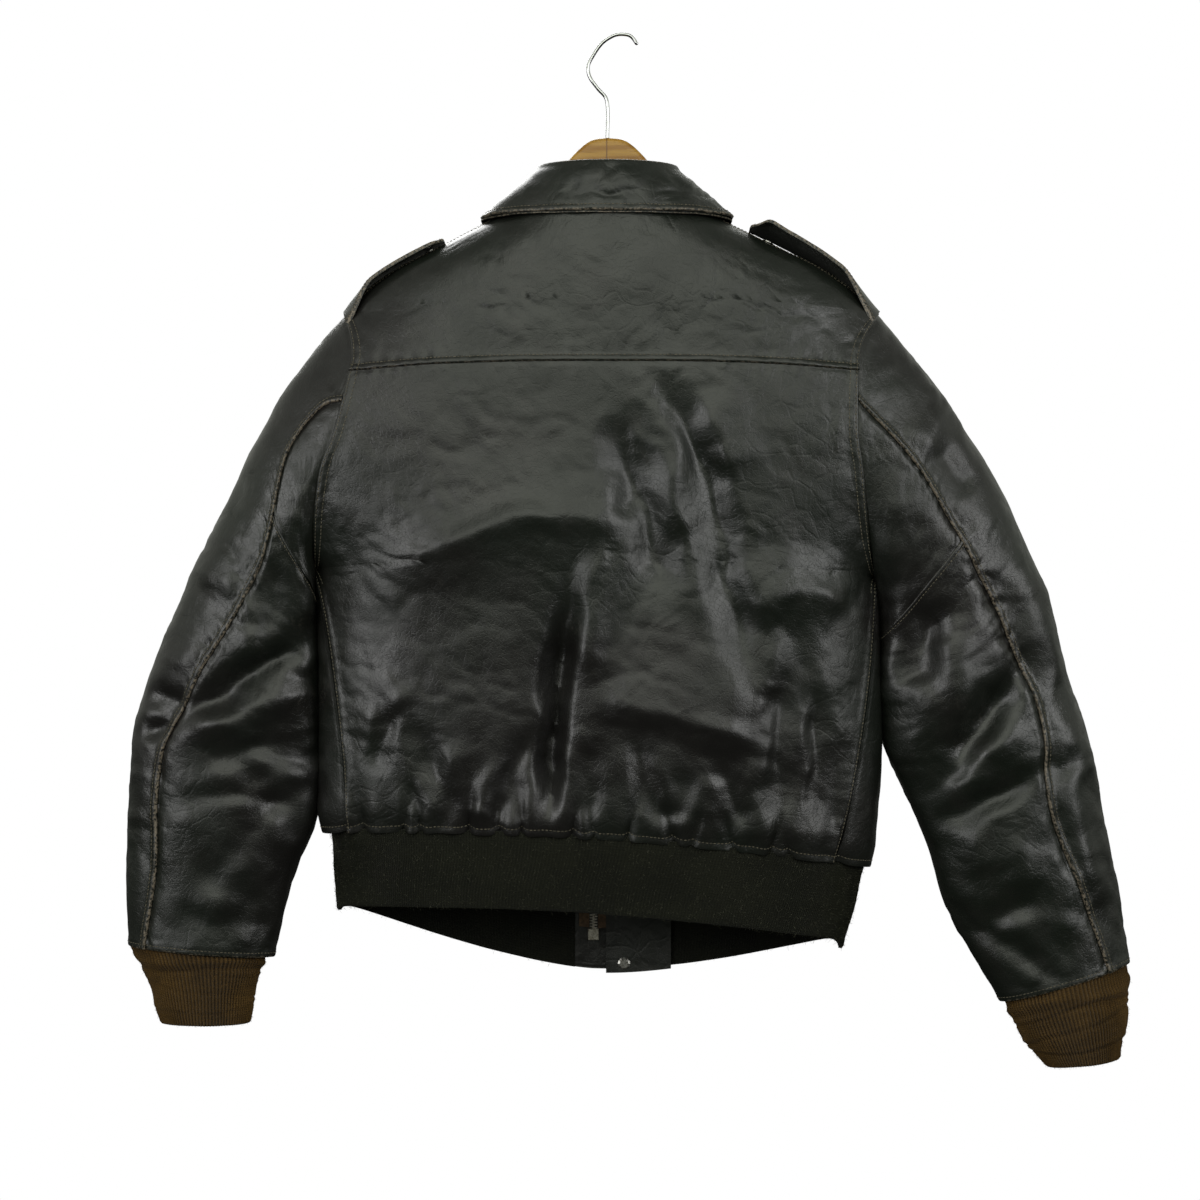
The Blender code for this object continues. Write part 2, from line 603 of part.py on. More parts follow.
BAND_LEFT_END = 29.5
BAND_RIGHT_END = -32.0
TAB_SPLIT = 2.5                # where the two hem tabs meet
FLAP_INNER = -57.0             # the wind flap's sewn edge
FLAP_OUTER = 1.6               # its free edge
FLAP_DROP = 3.0                # how far it hangs below the waistband


def make_waistband(knit, leather):
    levels = np.linspace(HEM - 2 * SEAM, BAND_END, 4)
    u, rows = np.meshgrid(np.linspace(0, 1, 45), levels, indexing="ij")
    start = band_w(BAND_RIGHT_END, rows, -1)
    stop = band_w(BAND_LEFT_END, rows, 1)
    w = mix(start, stop, u)
    wall("waistband", band(w, rows), band(w, rows, -KNIT), knit, gap=SEAM)
    for name, x_from, x_to in (
        ("hem_tab_left", BAND_LEFT_END, TAB_SPLIT), ("hem_tab_right", TAB_SPLIT, BAND_RIGHT_END)
    ):
        u, rows = np.meshgrid(np.linspace(0, 1, 4), levels, indexing="ij")
        w = band_w(mix(x_from, x_to, u), rows, 1)
        wall(name, band(w, rows), band(w, rows, -LEATHER), leather)


def zip_place(x, level, depth):
    """A point beside the zip, a depth inside the outer face of fronts and hem tabs."""
    above = np.maximum(level, HEM)
    on_front = body(w_at(x, above, 1, False), above, -depth)
    low = np.clip(level, BAND_END, HEM - 2 * SEAM)
    on_band = band(band_w(x, low, 1), low, -depth)
    joined = np.concatenate([on_band[..., :2], on_front[..., 2:]], -1)
    joined = mix(joined, on_front, ease((level - HEM) / 16)[..., None])
    return np.where((level >= HEM)[..., None], joined, on_band)


CHAIN_END = -743.0             # level of the chain's lower end, above the retaining box
SLIDER_LEVEL = -166.0
CHAIN_HALF = 3.6
TAPE_INNER = 3.95
TAPE_OUTER = 13.0
TAPE_THICK = 0.8
TAPE_DEPTH = LEATHER + CLEAR + 0.35
FLAP_DEPTH = 6.5               # of the wind flap's free part, behind the slider
BOX_SIZE = (10.0, 4.4, 10.5)
SLIDER_TALL = 11.0
PLATE_HALF = 4.4               # half the slider's width
PLATE_THICK = 1.2
PLATE_PROUD = 1.0              # the outer plate's face above the leather
WEB_HALF = 1.7                 # half the width of the web between the slider's two plates
CHEEK_INNER = 2.4
CHEEK_OUTER = 3.4
CHEEK_PROUD = 5.2
PIN_RADIUS = 1.3
PIN_HALF = 2.1
PULL_LONG = 29.0
PULL_HALF = 3.2
PULL_THICK = 1.3
PULL_NECK = 8.8                # how far from its pin the pull tab widens
SNAP_RADIUS = 5.6


def strip(name, x_from, x_to, levels, depth, thickness, surface, columns=2):
    """A band of tape, chain or leather that follows the zip's line between two offsets."""
    x = ZIP_LINE(levels)[None, :] + np.linspace(x_from, x_to, columns)[:, None]
    rows = np.broadcast_to(levels[None, :], x.shape)
    wall(name, zip_place(x, rows, depth), zip_place(x, rows, depth + thickness), surface)


def make_zip(tape, brass, leather):
    levels = np.concatenate([[CHAIN_END, -730, HEM - 4], body_levels()])
    tape_levels = levels[levels < NECK - 4]
    strip("zip_tape_left", TAPE_INNER, TAPE_OUTER, tape_levels, TAPE_DEPTH, TAPE_THICK, tape)
    strip("zip_tape_right", -TAPE_INNER, -TAPE_OUTER, tape_levels, TAPE_DEPTH, TAPE_THICK, tape)
    chain_levels = np.concatenate([levels[levels < SLIDER_LEVEL - 14], [SLIDER_LEVEL - 9]])
    strip("zip_chain", -CHAIN_HALF, CHAIN_HALF, chain_levels, ZIP_INSET - 1.2, 2.4, brass)

    level = np.array(CHAIN_END)
    x, y, z = zip_place(ZIP_LINE(level), level, LEATHER + CLEAR + BOX_SIZE[1] / 2)
    block("zip_box", BOX_SIZE, (x, y, z - CLEAR - BOX_SIZE[2] / 2), brass, 0.5)

    flap_levels = np.concatenate([[BAND_END, -765], levels[levels < NECK - 12]])
    x = np.array([FLAP_INNER, -34, -18, FLAP_OUTER])[:, None] + 0 * flap_levels[None, :]
    depth = np.array([LEATHER + 2 * CLEAR + KNIT, FLAP_DEPTH - 0.6, FLAP_DEPTH, FLAP_DEPTH])[:, None]
    rows = np.broadcast_to(flap_levels[None, :], x.shape)
    outer = zip_place(x, rows, depth + 0 * x)
    inner = zip_place(x, rows, depth + 0 * x + LEATHER)
    for grid in (outer, inner):
        grid[:, 0, 2] -= FLAP_DROP
    wall("wind_flap", outer, inner, leather)
    place = inner[-1, 0] + np.array([-16.2, CLEAR, 8.5])
    disc("hem_snap", place, (0, 1, 0), SNAP_RADIUS, 1.8, brass)


def make_slider(brass):
    face = zip_place(ZIP_LINE(np.array(SLIDER_LEVEL)), np.array(SLIDER_LEVEL), 0.0)
    web_in = ZIP_INSET * 2 - LEATHER
    corners = [
        (CHEEK_INNER, -PLATE_PROUD), (CHEEK_INNER, -CHEEK_PROUD), (CHEEK_OUTER, -CHEEK_PROUD),
        (CHEEK_OUTER, -PLATE_PROUD), (PLATE_HALF, -PLATE_PROUD), (PLATE_HALF, PLATE_THICK - PLATE_PROUD),
        (WEB_HALF, PLATE_THICK - PLATE_PROUD), (WEB_HALF, web_in), (PLATE_HALF, web_in),
        (PLATE_HALF, web_in + PLATE_THICK),
    ]
    corners = corners + [(-x, y) for x, y in corners[::-1]]
    mesh = bmesh.new()
    low = [mesh.verts.new((face[0] + x, face[1] + y, face[2] - SLIDER_TALL / 2)) for x, y in corners]
    raised = bmesh.ops.extrude_face_region(mesh, geom=[mesh.faces.new(low)])
    lifted = [v for v in raised["geom"] if isinstance(v, bmesh.types.BMVert)]
    bmesh.ops.translate(mesh, vec=(0, 0, SLIDER_TALL), verts=lifted)
    finish("zip_slider", mesh, brass, smooth=False)

    pin = face + np.array([0, -3.6, 2.0])
    mesh = bmesh.new()
    neck = PIN_RADIUS * 0.8
    half = PULL_THICK / 2
    outline_points = [(PIN_HALF, neck), (PIN_HALF, -PULL_NECK + 1), (PULL_HALF, -PULL_NECK - 1),
                      (PULL_HALF, -PULL_LONG + 3), (PULL_HALF - 2, -PULL_LONG)]
    outline_points = outline_points + [(-x, z) for x, z in outline_points[::-1]]
    low = [mesh.verts.new((x, -half, z)) for x, z in outline_points]
    raised = bmesh.ops.extrude_face_region(mesh, geom=[mesh.faces.new(low)])
    lifted = [v for v in raised["geom"] if isinstance(v, bmesh.types.BMVert)]
    bmesh.ops.translate(mesh, vec=(0, PULL_THICK, 0), verts=lifted)
    finish("zip_pull_tab", mesh, brass, smooth=False, origin=pin)


STRAP_FRONT = -18.0            # the epaulette's front and back edges
STRAP_BACK = 24.0
STRAP_FLAT = 0.35              # share of its lift that the strap's front edge has too
# Height of each strap's back edge over the shoulder, as (share of its length, height)
LEFT_LIFT = profile((0, 0.5), (0.3, 2.2), (0.6, 2.6), (0.85, 3.2), (1, 2.2))
RIGHT_LIFT = profile((0, 1.2), (0.15, 7.5), (0.32, 9.5), (0.5, 11.8), (0.72, 14.5), (0.84, 15.5),
                     (0.92, 10.5), (1, 5))
# Sides, lifts and x of the free ends
STRAPS = (("left", 1, LEFT_LIFT, 143.0), ("right", -1, RIGHT_LIFT, -124.0))
SNAP_SHARE = 0.86              # share of the strap's length at which its snap sits
SNAP_Y = 3.0
SNAP_HEIGHT = 1.6
STUD_RADIUS = 5.0
STUD_HEIGHT = 1.5


def shoulder_z(x, y, side):
    """The height of the body's face near the ridge, found by halving."""
    high = np.full_like(x, NECK)
    low = np.full_like(x, TIP - 60.0)
    for _ in range(30):
        level = (high + low) / 2
        form = FORM(level)
        depth = np.where(y > 0, form[..., 0], form[..., 1])
        sides = outline(level)
        half = (sides[..., 0] - sides[..., 1]) / 2 / open_share(level, depth, form[..., 3])
        across = np.abs(x - (sides[..., 0] + sides[..., 1]) / 2) / half
        reach = depth * np.sqrt(np.clip(1 - across ** form[..., 3], 0, 1))
        inside = reach > np.abs(y)
        low = np.where(inside, level, low)
        high = np.where(inside, high, level)
    tilt = TILT(high)
    return high + np.where(y > 0, tilt[..., 0] * (1 - across ** 2), -tilt[..., 1] * (1 - across ** 1.6))


def strap_place(side, lift, free_x, share, y, out):
    """A point of an epaulette, a distance above its underside."""
    middle = (TIP + UNDERARM) / 2
    start = ARMHOLE(middle + (TIP - middle) * np.sqrt(1 - (y / ARMHOLE_DEPTH) ** 2))
    x = mix(start[..., 0 if side > 0 else 1] - side, free_x, share)
    ridge = shoulder_z(x, 0 * y, side)
    slope = (shoulder_z(x + 1, 0 * y, side) - shoulder_z(x - 1, 0 * y, side)) / 2
    normal = unit(np.stack([-slope, 0 * slope, 1 + 0 * slope], -1))
    across = (y - STRAP_FRONT) / (STRAP_BACK - STRAP_FRONT)
    raised = ridge + lift(share) * mix(STRAP_FLAT, 1, across)
    z = mix(shoulder_z(x, y, side), raised, ease(share / 0.25))
    return np.stack([x, y, z], -1) + normal * (CLEAR + 0.5 + out)[..., None]


def make_epaulettes(leather, brass):
    for name, side, lift, free_x in STRAPS:
        across = np.linspace(STRAP_FRONT, STRAP_BACK, 6)
        share, y = np.meshgrid(np.linspace(0, 1, 11), across, indexing="ij")
        y = y + (SNAP_Y - y) * 0.45 * ease((share - SNAP_SHARE) / (1 - SNAP_SHARE))
        grids = [strap_place(side, lift, free_x, share, y, np.full_like(y, out)) for out in (STRAP, 0.0)]
        wall(f"epaulette_{name}", *grids, leather, gap=0)

        def on_strap(share, y, out):
            return strap_place(side, lift, free_x, *(np.array([v], float) for v in (share, y, out)))[0]

        along = on_strap(SNAP_SHARE + 0.02, SNAP_Y, STRAP) - on_strap(SNAP_SHARE - 0.02, SNAP_Y, STRAP)
        sideways = on_strap(SNAP_SHARE, SNAP_Y + 2, STRAP) - on_strap(SNAP_SHARE, SNAP_Y - 2, STRAP)
        axis = unit(np.cross(along, sideways))
        axis = axis * np.sign(axis[2])
        top = on_strap(SNAP_SHARE, SNAP_Y, STRAP)
        disc(f"epaulette_snap_{name}", top + axis * 0.1, axis, SNAP_RADIUS, SNAP_HEIGHT, brass)
        under = on_strap(SNAP_SHARE, SNAP_Y, 0.0)
        seat = under * [1, 1, 0] + [0, 0, float(shoulder_z(under[:1], under[1:2], side)[0])]
        beside = [float(shoulder_z(under[:1] + step, under[1:2], side)[0]) for step in (-1, 1)]
        axis = unit(np.array([(beside[0] - beside[1]) / 2, 0, 1]))
        disc(f"epaulette_stud_{name}", seat + axis * (CLEAR + 0.4), axis, STUD_RADIUS, STUD_HEIGHT, brass)


def disc(name, place, axis, radius, height, surface):
    """A low round button that stands on a place, along an axis."""
    mesh = bmesh.new()
    sides = 12
    profile_points = ((radius, 0.0), (radius, height * 0.55), (radius * 0.72, height))
    turn = Vector((0, 0, 1)).rotation_difference(Vector(axis)).to_matrix()
    rings = []
    for r, h in profile_points:
        ring_points = []
        for i in range(sides):
            angle = 2 * math.pi * i / sides
            spot = Vector((r * math.cos(angle), r * math.sin(angle), h))
            ring_points.append(mesh.verts.new(Vector(place) + turn @ spot))
        rings.append(ring_points)
    for lower, upper in zip(rings[:-1], rings[1:]):
        for i in range(sides):
            j = (i + 1) % sides
            mesh.faces.new((lower[i], lower[j], upper[j], upper[i]))
    mesh.faces.new(rings[0][::-1])
    mesh.faces.new(rings[-1])
    finish(name, mesh, surface)


COLLAR = 2.0
UNDER_COLLAR = 1.1
COLLAR_END = 1.93              # w of the stand's front ends
POINT_END = 1.79               # w of the collar's points
ROLL_HALF = 3.6                # half the width of the fold at the collar's top
LEAF_LIFT = 5.6


def roll_line(w):
    """The fold along the collar's top."""
    across = np.sin(np.pi * w / 2)
    along = np.cos(np.pi * w / 2)
    y = along * np.where(along > 0, 46, 62)
    z = np.where(along > 0, -115.5, -115.5 - 84 * (1 - np.abs(across) ** 1.6))
    return np.stack([0.5 + 61.5 * across, y, z], -1)


def collar_line(share, key):
    """A point of the collar's face: key runs from the stand's foot at 0 to the leaf's edge at 1."""
    w = share * COLLAR_END
    foot = body_base(w, NECK)
    fold = roll_line(w)
    edge_w = share * POINT_END
    edge_level = -165.5 - 38 * np.clip((np.abs(edge_w) - 1) / (POINT_END - 1), 0, 1) ** 2.4
    edge = body_base(edge_w, edge_level) + body_normal(edge_w, edge_level) * LEAF_LIFT
    edge = edge * [1.03, 1, 1]
    away = unit(foot * [1, 1, 0])
    up = np.array([0, 0, 1.0])
    foot = foot - away * (COLLAR + 0.4) + up * CLEAR
    inside = fold - away * ROLL_HALF - up * 5
    outside = fold + away * ROLL_HALF - up * 5
    knots = ((0, foot), (0.24, mix(foot, inside, 0.55) - away * 0.6), (0.42, inside), (0.48, fold),
             (0.54, outside), (0.76, mix(outside, edge, 0.5) + away * 2), (1, edge))
    return profile(*[(at, *point) for at, point in knots])(key)


def collar_grid(columns, rows):
    """Points of the collar's face and the unit normals that point out of its leaf."""
    def at(share, key):
        return np.array([[collar_line(s, k) for k in key] for s in share])

    share = np.linspace(-1, 1, columns)
    rows = np.array(rows)
    along = at(share, rows + 0.01) - at(share, rows - 0.01)
    inner = np.clip(share, -0.99, 0.99)
    across = at(inner + 0.01, rows) - at(inner - 0.01, rows)
    grid = at(share, rows)
    normal = unit(np.cross(across, along))
    away = grid[:, -1:] * [1, 1, 0]
    return grid, normal * np.sign(np.sum(normal[:, -1:] * away, axis=-1, keepdims=True))


STAND_ROWS = (0.01, 0.2, 0.41, 0.45, 0.48, 0.51, 0.55)
LEAF_ROWS = (0.60, 0.70, 0.80, 0.90)
COLLAR_COLUMNS = 27


def make_collar(leather):
    grid, normal = collar_grid(COLLAR_COLUMNS, STAND_ROWS + LEAF_ROWS + (0.99,))
    wall("collar", grid, grid - normal * COLLAR, leather, gap=0)
    leaf, leaf_normal = grid[:, -5:], normal[:, -5:]
    leaf[:, -1] += (leaf[:, -1] - leaf[:, -2]) * 0.12
    under = COLLAR + 0.6
    inner = leaf - leaf_normal * (under + UNDER_COLLAR)
    wall("collar_under", leaf - leaf_normal * under, inner, leather, gap=0)


# The hanger
WOOD_HALF = 8.0                # half its thickness
WOOD_REACH = 206.0             # from its middle to each end
HOOK_WIRE = 1.6                # radius of the hook's wire
WOOD_NECK = profile((0, -90), (16, -93), (32, -107), (43, -122), (53, -137), (64, -151), (77, -156))
WOOD_UNDER = profile((0, -140), (45, -150), (80, -178), (140, -208), (WOOD_REACH, -243))
HOOK_LINE = profile((0, 0.5, -89.65), (1, 1, -57), (1.6, 9, -46), (2.1, 16, -36), (2.5, 17.5, -27),
                    (2.9, 14.5, -19.5), (3.5, 5.5, -6.5), (3.9, -4, 0), (4.3, -12, 1.7), (4.7, -20, 0),
                    (5.2, -26, -7.5))


def wood_top(x, side):
    """The hanger's upper edge: just under the shoulders, and rising to the neck's dome."""
    levels = np.linspace(TIP, NECK, 60)
    sides = outline(levels)
    reach = np.abs(sides[:, 0 if side > 0 else 1])
    under_ridge = np.interp(x, reach[::-1], levels[::-1]) - LEATHER - 2.4
    return np.where(x > 77, np.minimum(under_ridge, -156), WOOD_NECK(x))


def make_hanger(wood, chrome):
    stations = np.array([-206, -200, -185, -165, -145, -125, -105, -90, -77, -62, -46, -32, -22, -11, 0,
                         11, 22, 32, 46, 62, 77, 90, 105, 125, 145, 165, 185, 200, 206.0])
    mesh = bmesh.new()
    rings = []
    for x in stations:
        side = 1 if x >= 0 else -1
        high = float(wood_top(np.array(abs(x)), side))
        low = float(WOOD_UNDER(abs(x)))
        end = 1 - 0.55 * max(0, (abs(x) - 198) / 8)
        middle = (high + low) / 2
        half = (high - low) / 2 * end
        corners = ((1, 0.78), (0.5, 1), (-0.5, 1), (-1, 0.78))
        corners = corners + tuple((-a, -b) for a, b in corners)
        rings.append([mesh.verts.new((x, WOOD_HALF * a * end, middle + half * b)) for a, b in corners])
    for left, right in zip(rings[:-1], rings[1:]):
        for i in range(8):
            j = (i + 1) % 8
            mesh.faces.new((left[i], left[j], right[j], right[i]))
    mesh.faces.new(rings[0][::-1])
    mesh.faces.new(rings[-1])
    finish("hanger_wood", mesh, wood)

    share = np.linspace(0, 5.2, 23)
    line = HOOK_LINE(share)
    path = np.stack([line[:, 0], 0 * share, line[:, 1]], -1)
    along = unit(np.gradient(path, axis=0))
    flat = np.stack([-along[:, 2], 0 * share, along[:, 0]], -1)
    mesh = bmesh.new()
    rings = []
    for point, sideways in zip(path, flat):
        turns = [2 * math.pi * i / 8 for i in range(8)]
        rings.append([
            mesh.verts.new(point + HOOK_WIRE * (math.cos(t) * sideways + math.sin(t) * np.array([0, 1, 0])))
            for t in turns
        ])
    for lower, upper in zip(rings[:-1], rings[1:]):
        for i in range(8):
            j = (i + 1) % 8
            mesh.faces.new((lower[i], lower[j], upper[j], upper[i]))
    mesh.faces.new(rings[0][::-1])
    mesh.faces.new(rings[-1])
    finish("hanger_hook", mesh, chrome)


def block(name, size, place, surface, bevel):
    """A box of a size at a place, with softened edges."""
    mesh = bmesh.new()
    bmesh.ops.create_cube(mesh, size=1.0)
    bmesh.ops.scale(mesh, vec=size, verts=mesh.verts)
    bmesh.ops.bevel(mesh, geom=mesh.edges[:], offset=bevel, segments=1, affect="EDGES")
    bmesh.ops.translate(mesh, vec=place, verts=mesh.verts)
    finish(name, mesh, surface, smooth=False)


def main():
    for made in list(bpy.data.objects):
        bpy.data.objects.remove(made, do_unlink=True)
    leather = material("leather", (0.022, 0.021, 0.019), 0.4)
    cuff_knit = material("cuff_knit", (0.09, 0.05, 0.022), 0.95)
    band_knit = material("band_knit", (0.012, 0.013, 0.008), 0.95)
    tape = material("zip_tape", (0.11, 0.07, 0.03), 0.9)
    brass = material("zip_metal", (0.45, 0.43, 0.38), 0.35, 1.0)
    wood = material("hanger_wood", (0.42, 0.24, 0.08), 0.35)
    chrome = material("hook_chrome", (0.7, 0.7, 0.7), 0.12, 1.0)
    make_back(leather)
    make_fronts(leather)
    make_sleeves(leather)
    make_cuffs(cuff_knit)
    make_waistband(band_knit, leather)
    make_collar(leather)
    make_epaulettes(leather, brass)
    make_zip(tape, brass, leather)
    make_slider(brass)
    make_hanger(wood, chrome)


main()
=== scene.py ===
"""Looks of a worn leather flight jacket with a knit waistband and cuffs, on a wooden hanger.

Every cloth piece is drawn again at a finer step on the same curves as its solid: millimetres in the
jacket's frame, x towards the wearer's left, y to the back, z up. Seams, creases, gathers, stitches, zip
teeth and knit are added on these curves, and points go to metres when a mesh is made.
"""
import math

import bmesh
import bpy
import numpy as np
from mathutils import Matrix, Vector


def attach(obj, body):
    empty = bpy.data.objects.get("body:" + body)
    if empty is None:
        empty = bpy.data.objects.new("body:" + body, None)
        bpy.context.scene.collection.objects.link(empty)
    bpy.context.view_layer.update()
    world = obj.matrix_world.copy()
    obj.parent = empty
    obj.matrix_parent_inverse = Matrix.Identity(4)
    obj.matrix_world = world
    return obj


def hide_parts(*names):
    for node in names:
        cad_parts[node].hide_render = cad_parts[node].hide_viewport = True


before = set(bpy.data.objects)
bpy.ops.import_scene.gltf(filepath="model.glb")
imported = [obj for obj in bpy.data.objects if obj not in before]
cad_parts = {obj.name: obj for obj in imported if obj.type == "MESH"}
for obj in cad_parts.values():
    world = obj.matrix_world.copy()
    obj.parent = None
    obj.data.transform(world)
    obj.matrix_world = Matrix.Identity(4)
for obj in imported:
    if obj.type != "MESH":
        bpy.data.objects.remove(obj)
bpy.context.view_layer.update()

MM = 0.001
HOOK_X = -11.4                 # the hook's top lies this far from the jacket's middle line

# Thicknesses and gaps
LEATHER = 1.5
KNIT = 2.6
STRAP = 2.4
SEAM = 0.16                    # each piece stops this far short of the seam it shares
CLEAR = 0.35                   # between a piece and what it lies on

# Heights on the jacket's side, called levels
NECK = -148.0
TIP = -246.0                   # shoulder tip, the top of the armhole
UNDERARM = -473.0
HEM = -712.0                   # where the leather meets the knit waistband
BAND_END = -780.0
ARMHOLE_DEPTH = 52.0           # half of the armhole's width from front to back

FRONT_GAP = 5.0                # each front's edge from the zip's middle
ZIP_INSET = 3.2                # the zip's middle below the leather's outer face


def profile(*points):
    """A smooth curve through points that start with a rising key; returns a function of the key."""
    table = np.array(points, float)
    keys, values = table[:, 0], table[:, 1:]
    slopes = np.zeros_like(values)
    slopes[1:-1] = (values[2:] - values[:-2]) / (keys[2:] - keys[:-2])[:, None]
    slopes[0] = (values[1] - values[0]) / (keys[1] - keys[0])
    slopes[-1] = (values[-1] - values[-2]) / (keys[-1] - keys[-2])

    def at(key):
        key = np.clip(np.asarray(key, float), keys[0], keys[-1])
        i = np.clip(np.searchsorted(keys, key, side="right") - 1, 0, len(keys) - 2)
        step = keys[i + 1] - keys[i]
        t = ((key - keys[i]) / step)[..., None]
        step = step[..., None]
        found = (
            (1 + 2 * t) * (1 - t) ** 2 * values[i]
            + t * (1 - t) ** 2 * step * slopes[i]
            + t ** 2 * (3 - 2 * t) * values[i + 1]
            + t ** 2 * (t - 1) * step * slopes[i + 1]
        )
        return found[..., 0] if values.shape[1] == 1 else found

    return at


def ease(t):
    """0 to 1 with soft ends."""
    t = np.clip(t, 0, 1)
    return t * t * (3 - 2 * t)


def mix(a, b, t):
    return a + (b - a) * t


# The body's outline, as (level, left x, right x)
RIDGE = profile((TIP, 231, -238), (-232, 220, -224), (-218, 204, -206), (-204, 182, -184),
                (-187, 148, -149), (-168, 112, -110), (NECK, 77, -74))
ARMHOLE = profile((UNDERARM, 257, -234), (-449, 256, -228), (-422, 254, -224), (-387, 248, -220),
                  (-361, 238, -216), (-326, 229, -216), (-306, 225, -217), (-290, 222, -218),
                  (-270, 224, -224), (TIP, 231, -238))
SIDE = profile((HEM, 247, -229), (-704, 250, -232), (-690, 252, -234), (-650, 252.5, -237.6),
               (-600, 253, -239.4), (-540, 253.5, -239), (-490, 256, -236), (UNDERARM, 257, -234))
# (level, back depth, front depth, slope across, squareness)
FORM = profile((HEM, 55, 58, 0.065, 3.2), (-700, 59, 62, 0.062, 3.3), (-680, 62, 64, 0.057, 3.4),
               (-600, 65, 65, 0.04, 3.6), (UNDERARM, 67, 66, 0.014, 3.5), (-360, 67, 65, 0, 2.9),
               (TIP, 62, 62, 0, 2.5), (-190, 58, 63, 0, 2.2), (NECK, 52, 64, 0, 2.0))
# (level, rise of the back's middle, drop of the front's middle)
TILT = profile((HEM, 12, 50), (UNDERARM, 14, 48), (TIP, 10, 52), (-190, 4, 66), (NECK, 2, 76))
# The zip's middle line, as (level, x)
ZIP_LINE = profile((BAND_END, 13), (HEM, 12.5), (-500, 7), (NECK, 0))
# The seams between back and fronts, as (level, left x, right x)
SIDE_SEAM = profile((HEM, 226, -197), (-690, 228, -205), (-640, 231, -215), (-585, 237, -224),
                    (-540, 243, -229.5), (-500, 250, -232.5), (UNDERARM, 257, -234))
# The waistband, as (level, left x, right x, back depth, front depth, slope across, squareness)
BAND = profile((BAND_END, 237.5, -206.8, 51, 58, 0.067, 3.0), (-760, 239, -211.5, 52, 58, 0.067, 3.0),
               (-735, 240, -218.5, 53, 57, 0.066, 3.1), (HEM - 2 * SEAM, 245, -227, 53.5, 56.5, 0.065, 3.2))
BAND_RISE = 12.5               # rise of the band's back edge at its middle
BAND_DROP = 49.0               # drop of its front edge at the middle
# How far the band's lower corners hang down at the left and right side, and over what share of w
LEFT_DROOP = 5.0
RIGHT_DROOP = 9.5
DROOP_REACH = 0.24


def outline(level):
    """The body's left and right x at a level."""
    below = (level <= UNDERARM)[..., None]
    above = (level >= TIP)[..., None]
    return np.where(below, SIDE(level), np.where(above, RIDGE(level), ARMHOLE(level)))


def armhole_depth(level):
    middle = (TIP + UNDERARM) / 2
    reach = (TIP - UNDERARM) / 2
    return ARMHOLE_DEPTH * np.sqrt(np.clip(1 - ((level - middle) / reach) ** 2, 0, 1))


def body_base(w, level):
    """A point of the body: w is 0 at the back's middle, 1 and -1 at the sides, 2 at the front's middle."""
    w, level = np.broadcast_arrays(np.asarray(w, float), np.asarray(level, float))
    sides = outline(level)
    form = FORM(level)
    tilt = TILT(level)
    back = np.cos(np.pi * w / 2) > 0
    depth = np.where(back, form[..., 0], form[..., 1])
    square = form[..., 3]
    middle = (sides[..., 0] + sides[..., 1]) / 2
    half = (sides[..., 0] - sides[..., 1]) / 2 / open_share(level, depth, square)
    across = np.sin(np.pi * np.abs(w) / 2)
    share = np.clip(1 - np.abs(across) ** square, 0, 1)
    x = middle + np.sign(w) * half * across
    y = np.where(back, 1, -1) * depth * np.sqrt(share)
    rise = np.where(back, tilt[..., 0], -tilt[..., 1])
    z = level + form[..., 2] * x + rise * (1 - np.abs(across) ** np.where(back, 2, 1.6))
    return np.stack([x, y, z], -1)


def open_share(level, depth, square):
    """How much of the section's half width lies inside the armholes: 1 where there is no armhole."""
    return np.clip(1 - (armhole_depth(level) / depth) ** 2, 0, 1) ** (1 / square)


def side_w(level, back=True):
    """The w at which the body ends: at the armhole, or 1 at the ridge and down the side."""
    form = FORM(level)
    share = open_share(level, form[..., 0 if back else 1], form[..., 3])
    end = 2 / np.pi * np.arcsin(np.clip(share, 0, 1))
    return end if back else 2 - end


def w_at(x, level, side, back=True):
    """The w of the point at x, on the left (side 1) or right (side -1)."""
    sides = outline(level)
    form = FORM(level)
    share = open_share(level, form[..., 0 if back else 1], form[..., 3])
    middle = (sides[..., 0] + sides[..., 1]) / 2
    half = (sides[..., 0] - sides[..., 1]) / 2 / share
    found = 2 / np.pi * np.arcsin(np.clip(side * (x - middle) / half, -1, 1))
    return side * (found if back else 2 - found)


def unit(v):
    return v / np.maximum(np.linalg.norm(v, axis=-1, keepdims=True), 1e-9)


def normal_of(surface, a, b, step_a, step_b, outward):
    """Unit normals of a surface function at (a, b), pointing the way that outward gives."""
    along_a = surface(a + step_a, b) - surface(a - step_a, b)
    along_b = surface(a, b + step_b) - surface(a, b - step_b)
    normal = unit(np.cross(along_a, along_b))
    facing = np.sign(np.sum(normal * outward, axis=-1, keepdims=True))
    return normal * np.where(facing == 0, 1, facing)


def armhole_normal(level, back):
    """The way out from the armhole's own middle, shared by body and sleeve."""
    middle = (TIP + UNDERARM) / 2
    reach = (TIP - UNDERARM) / 2
    y = np.where(back, 1, -1) * armhole_depth(level) / ARMHOLE_DEPTH ** 2
    z = (level - middle) / reach ** 2
    return unit(np.stack([0 * y, y, z + 1e-9], -1))


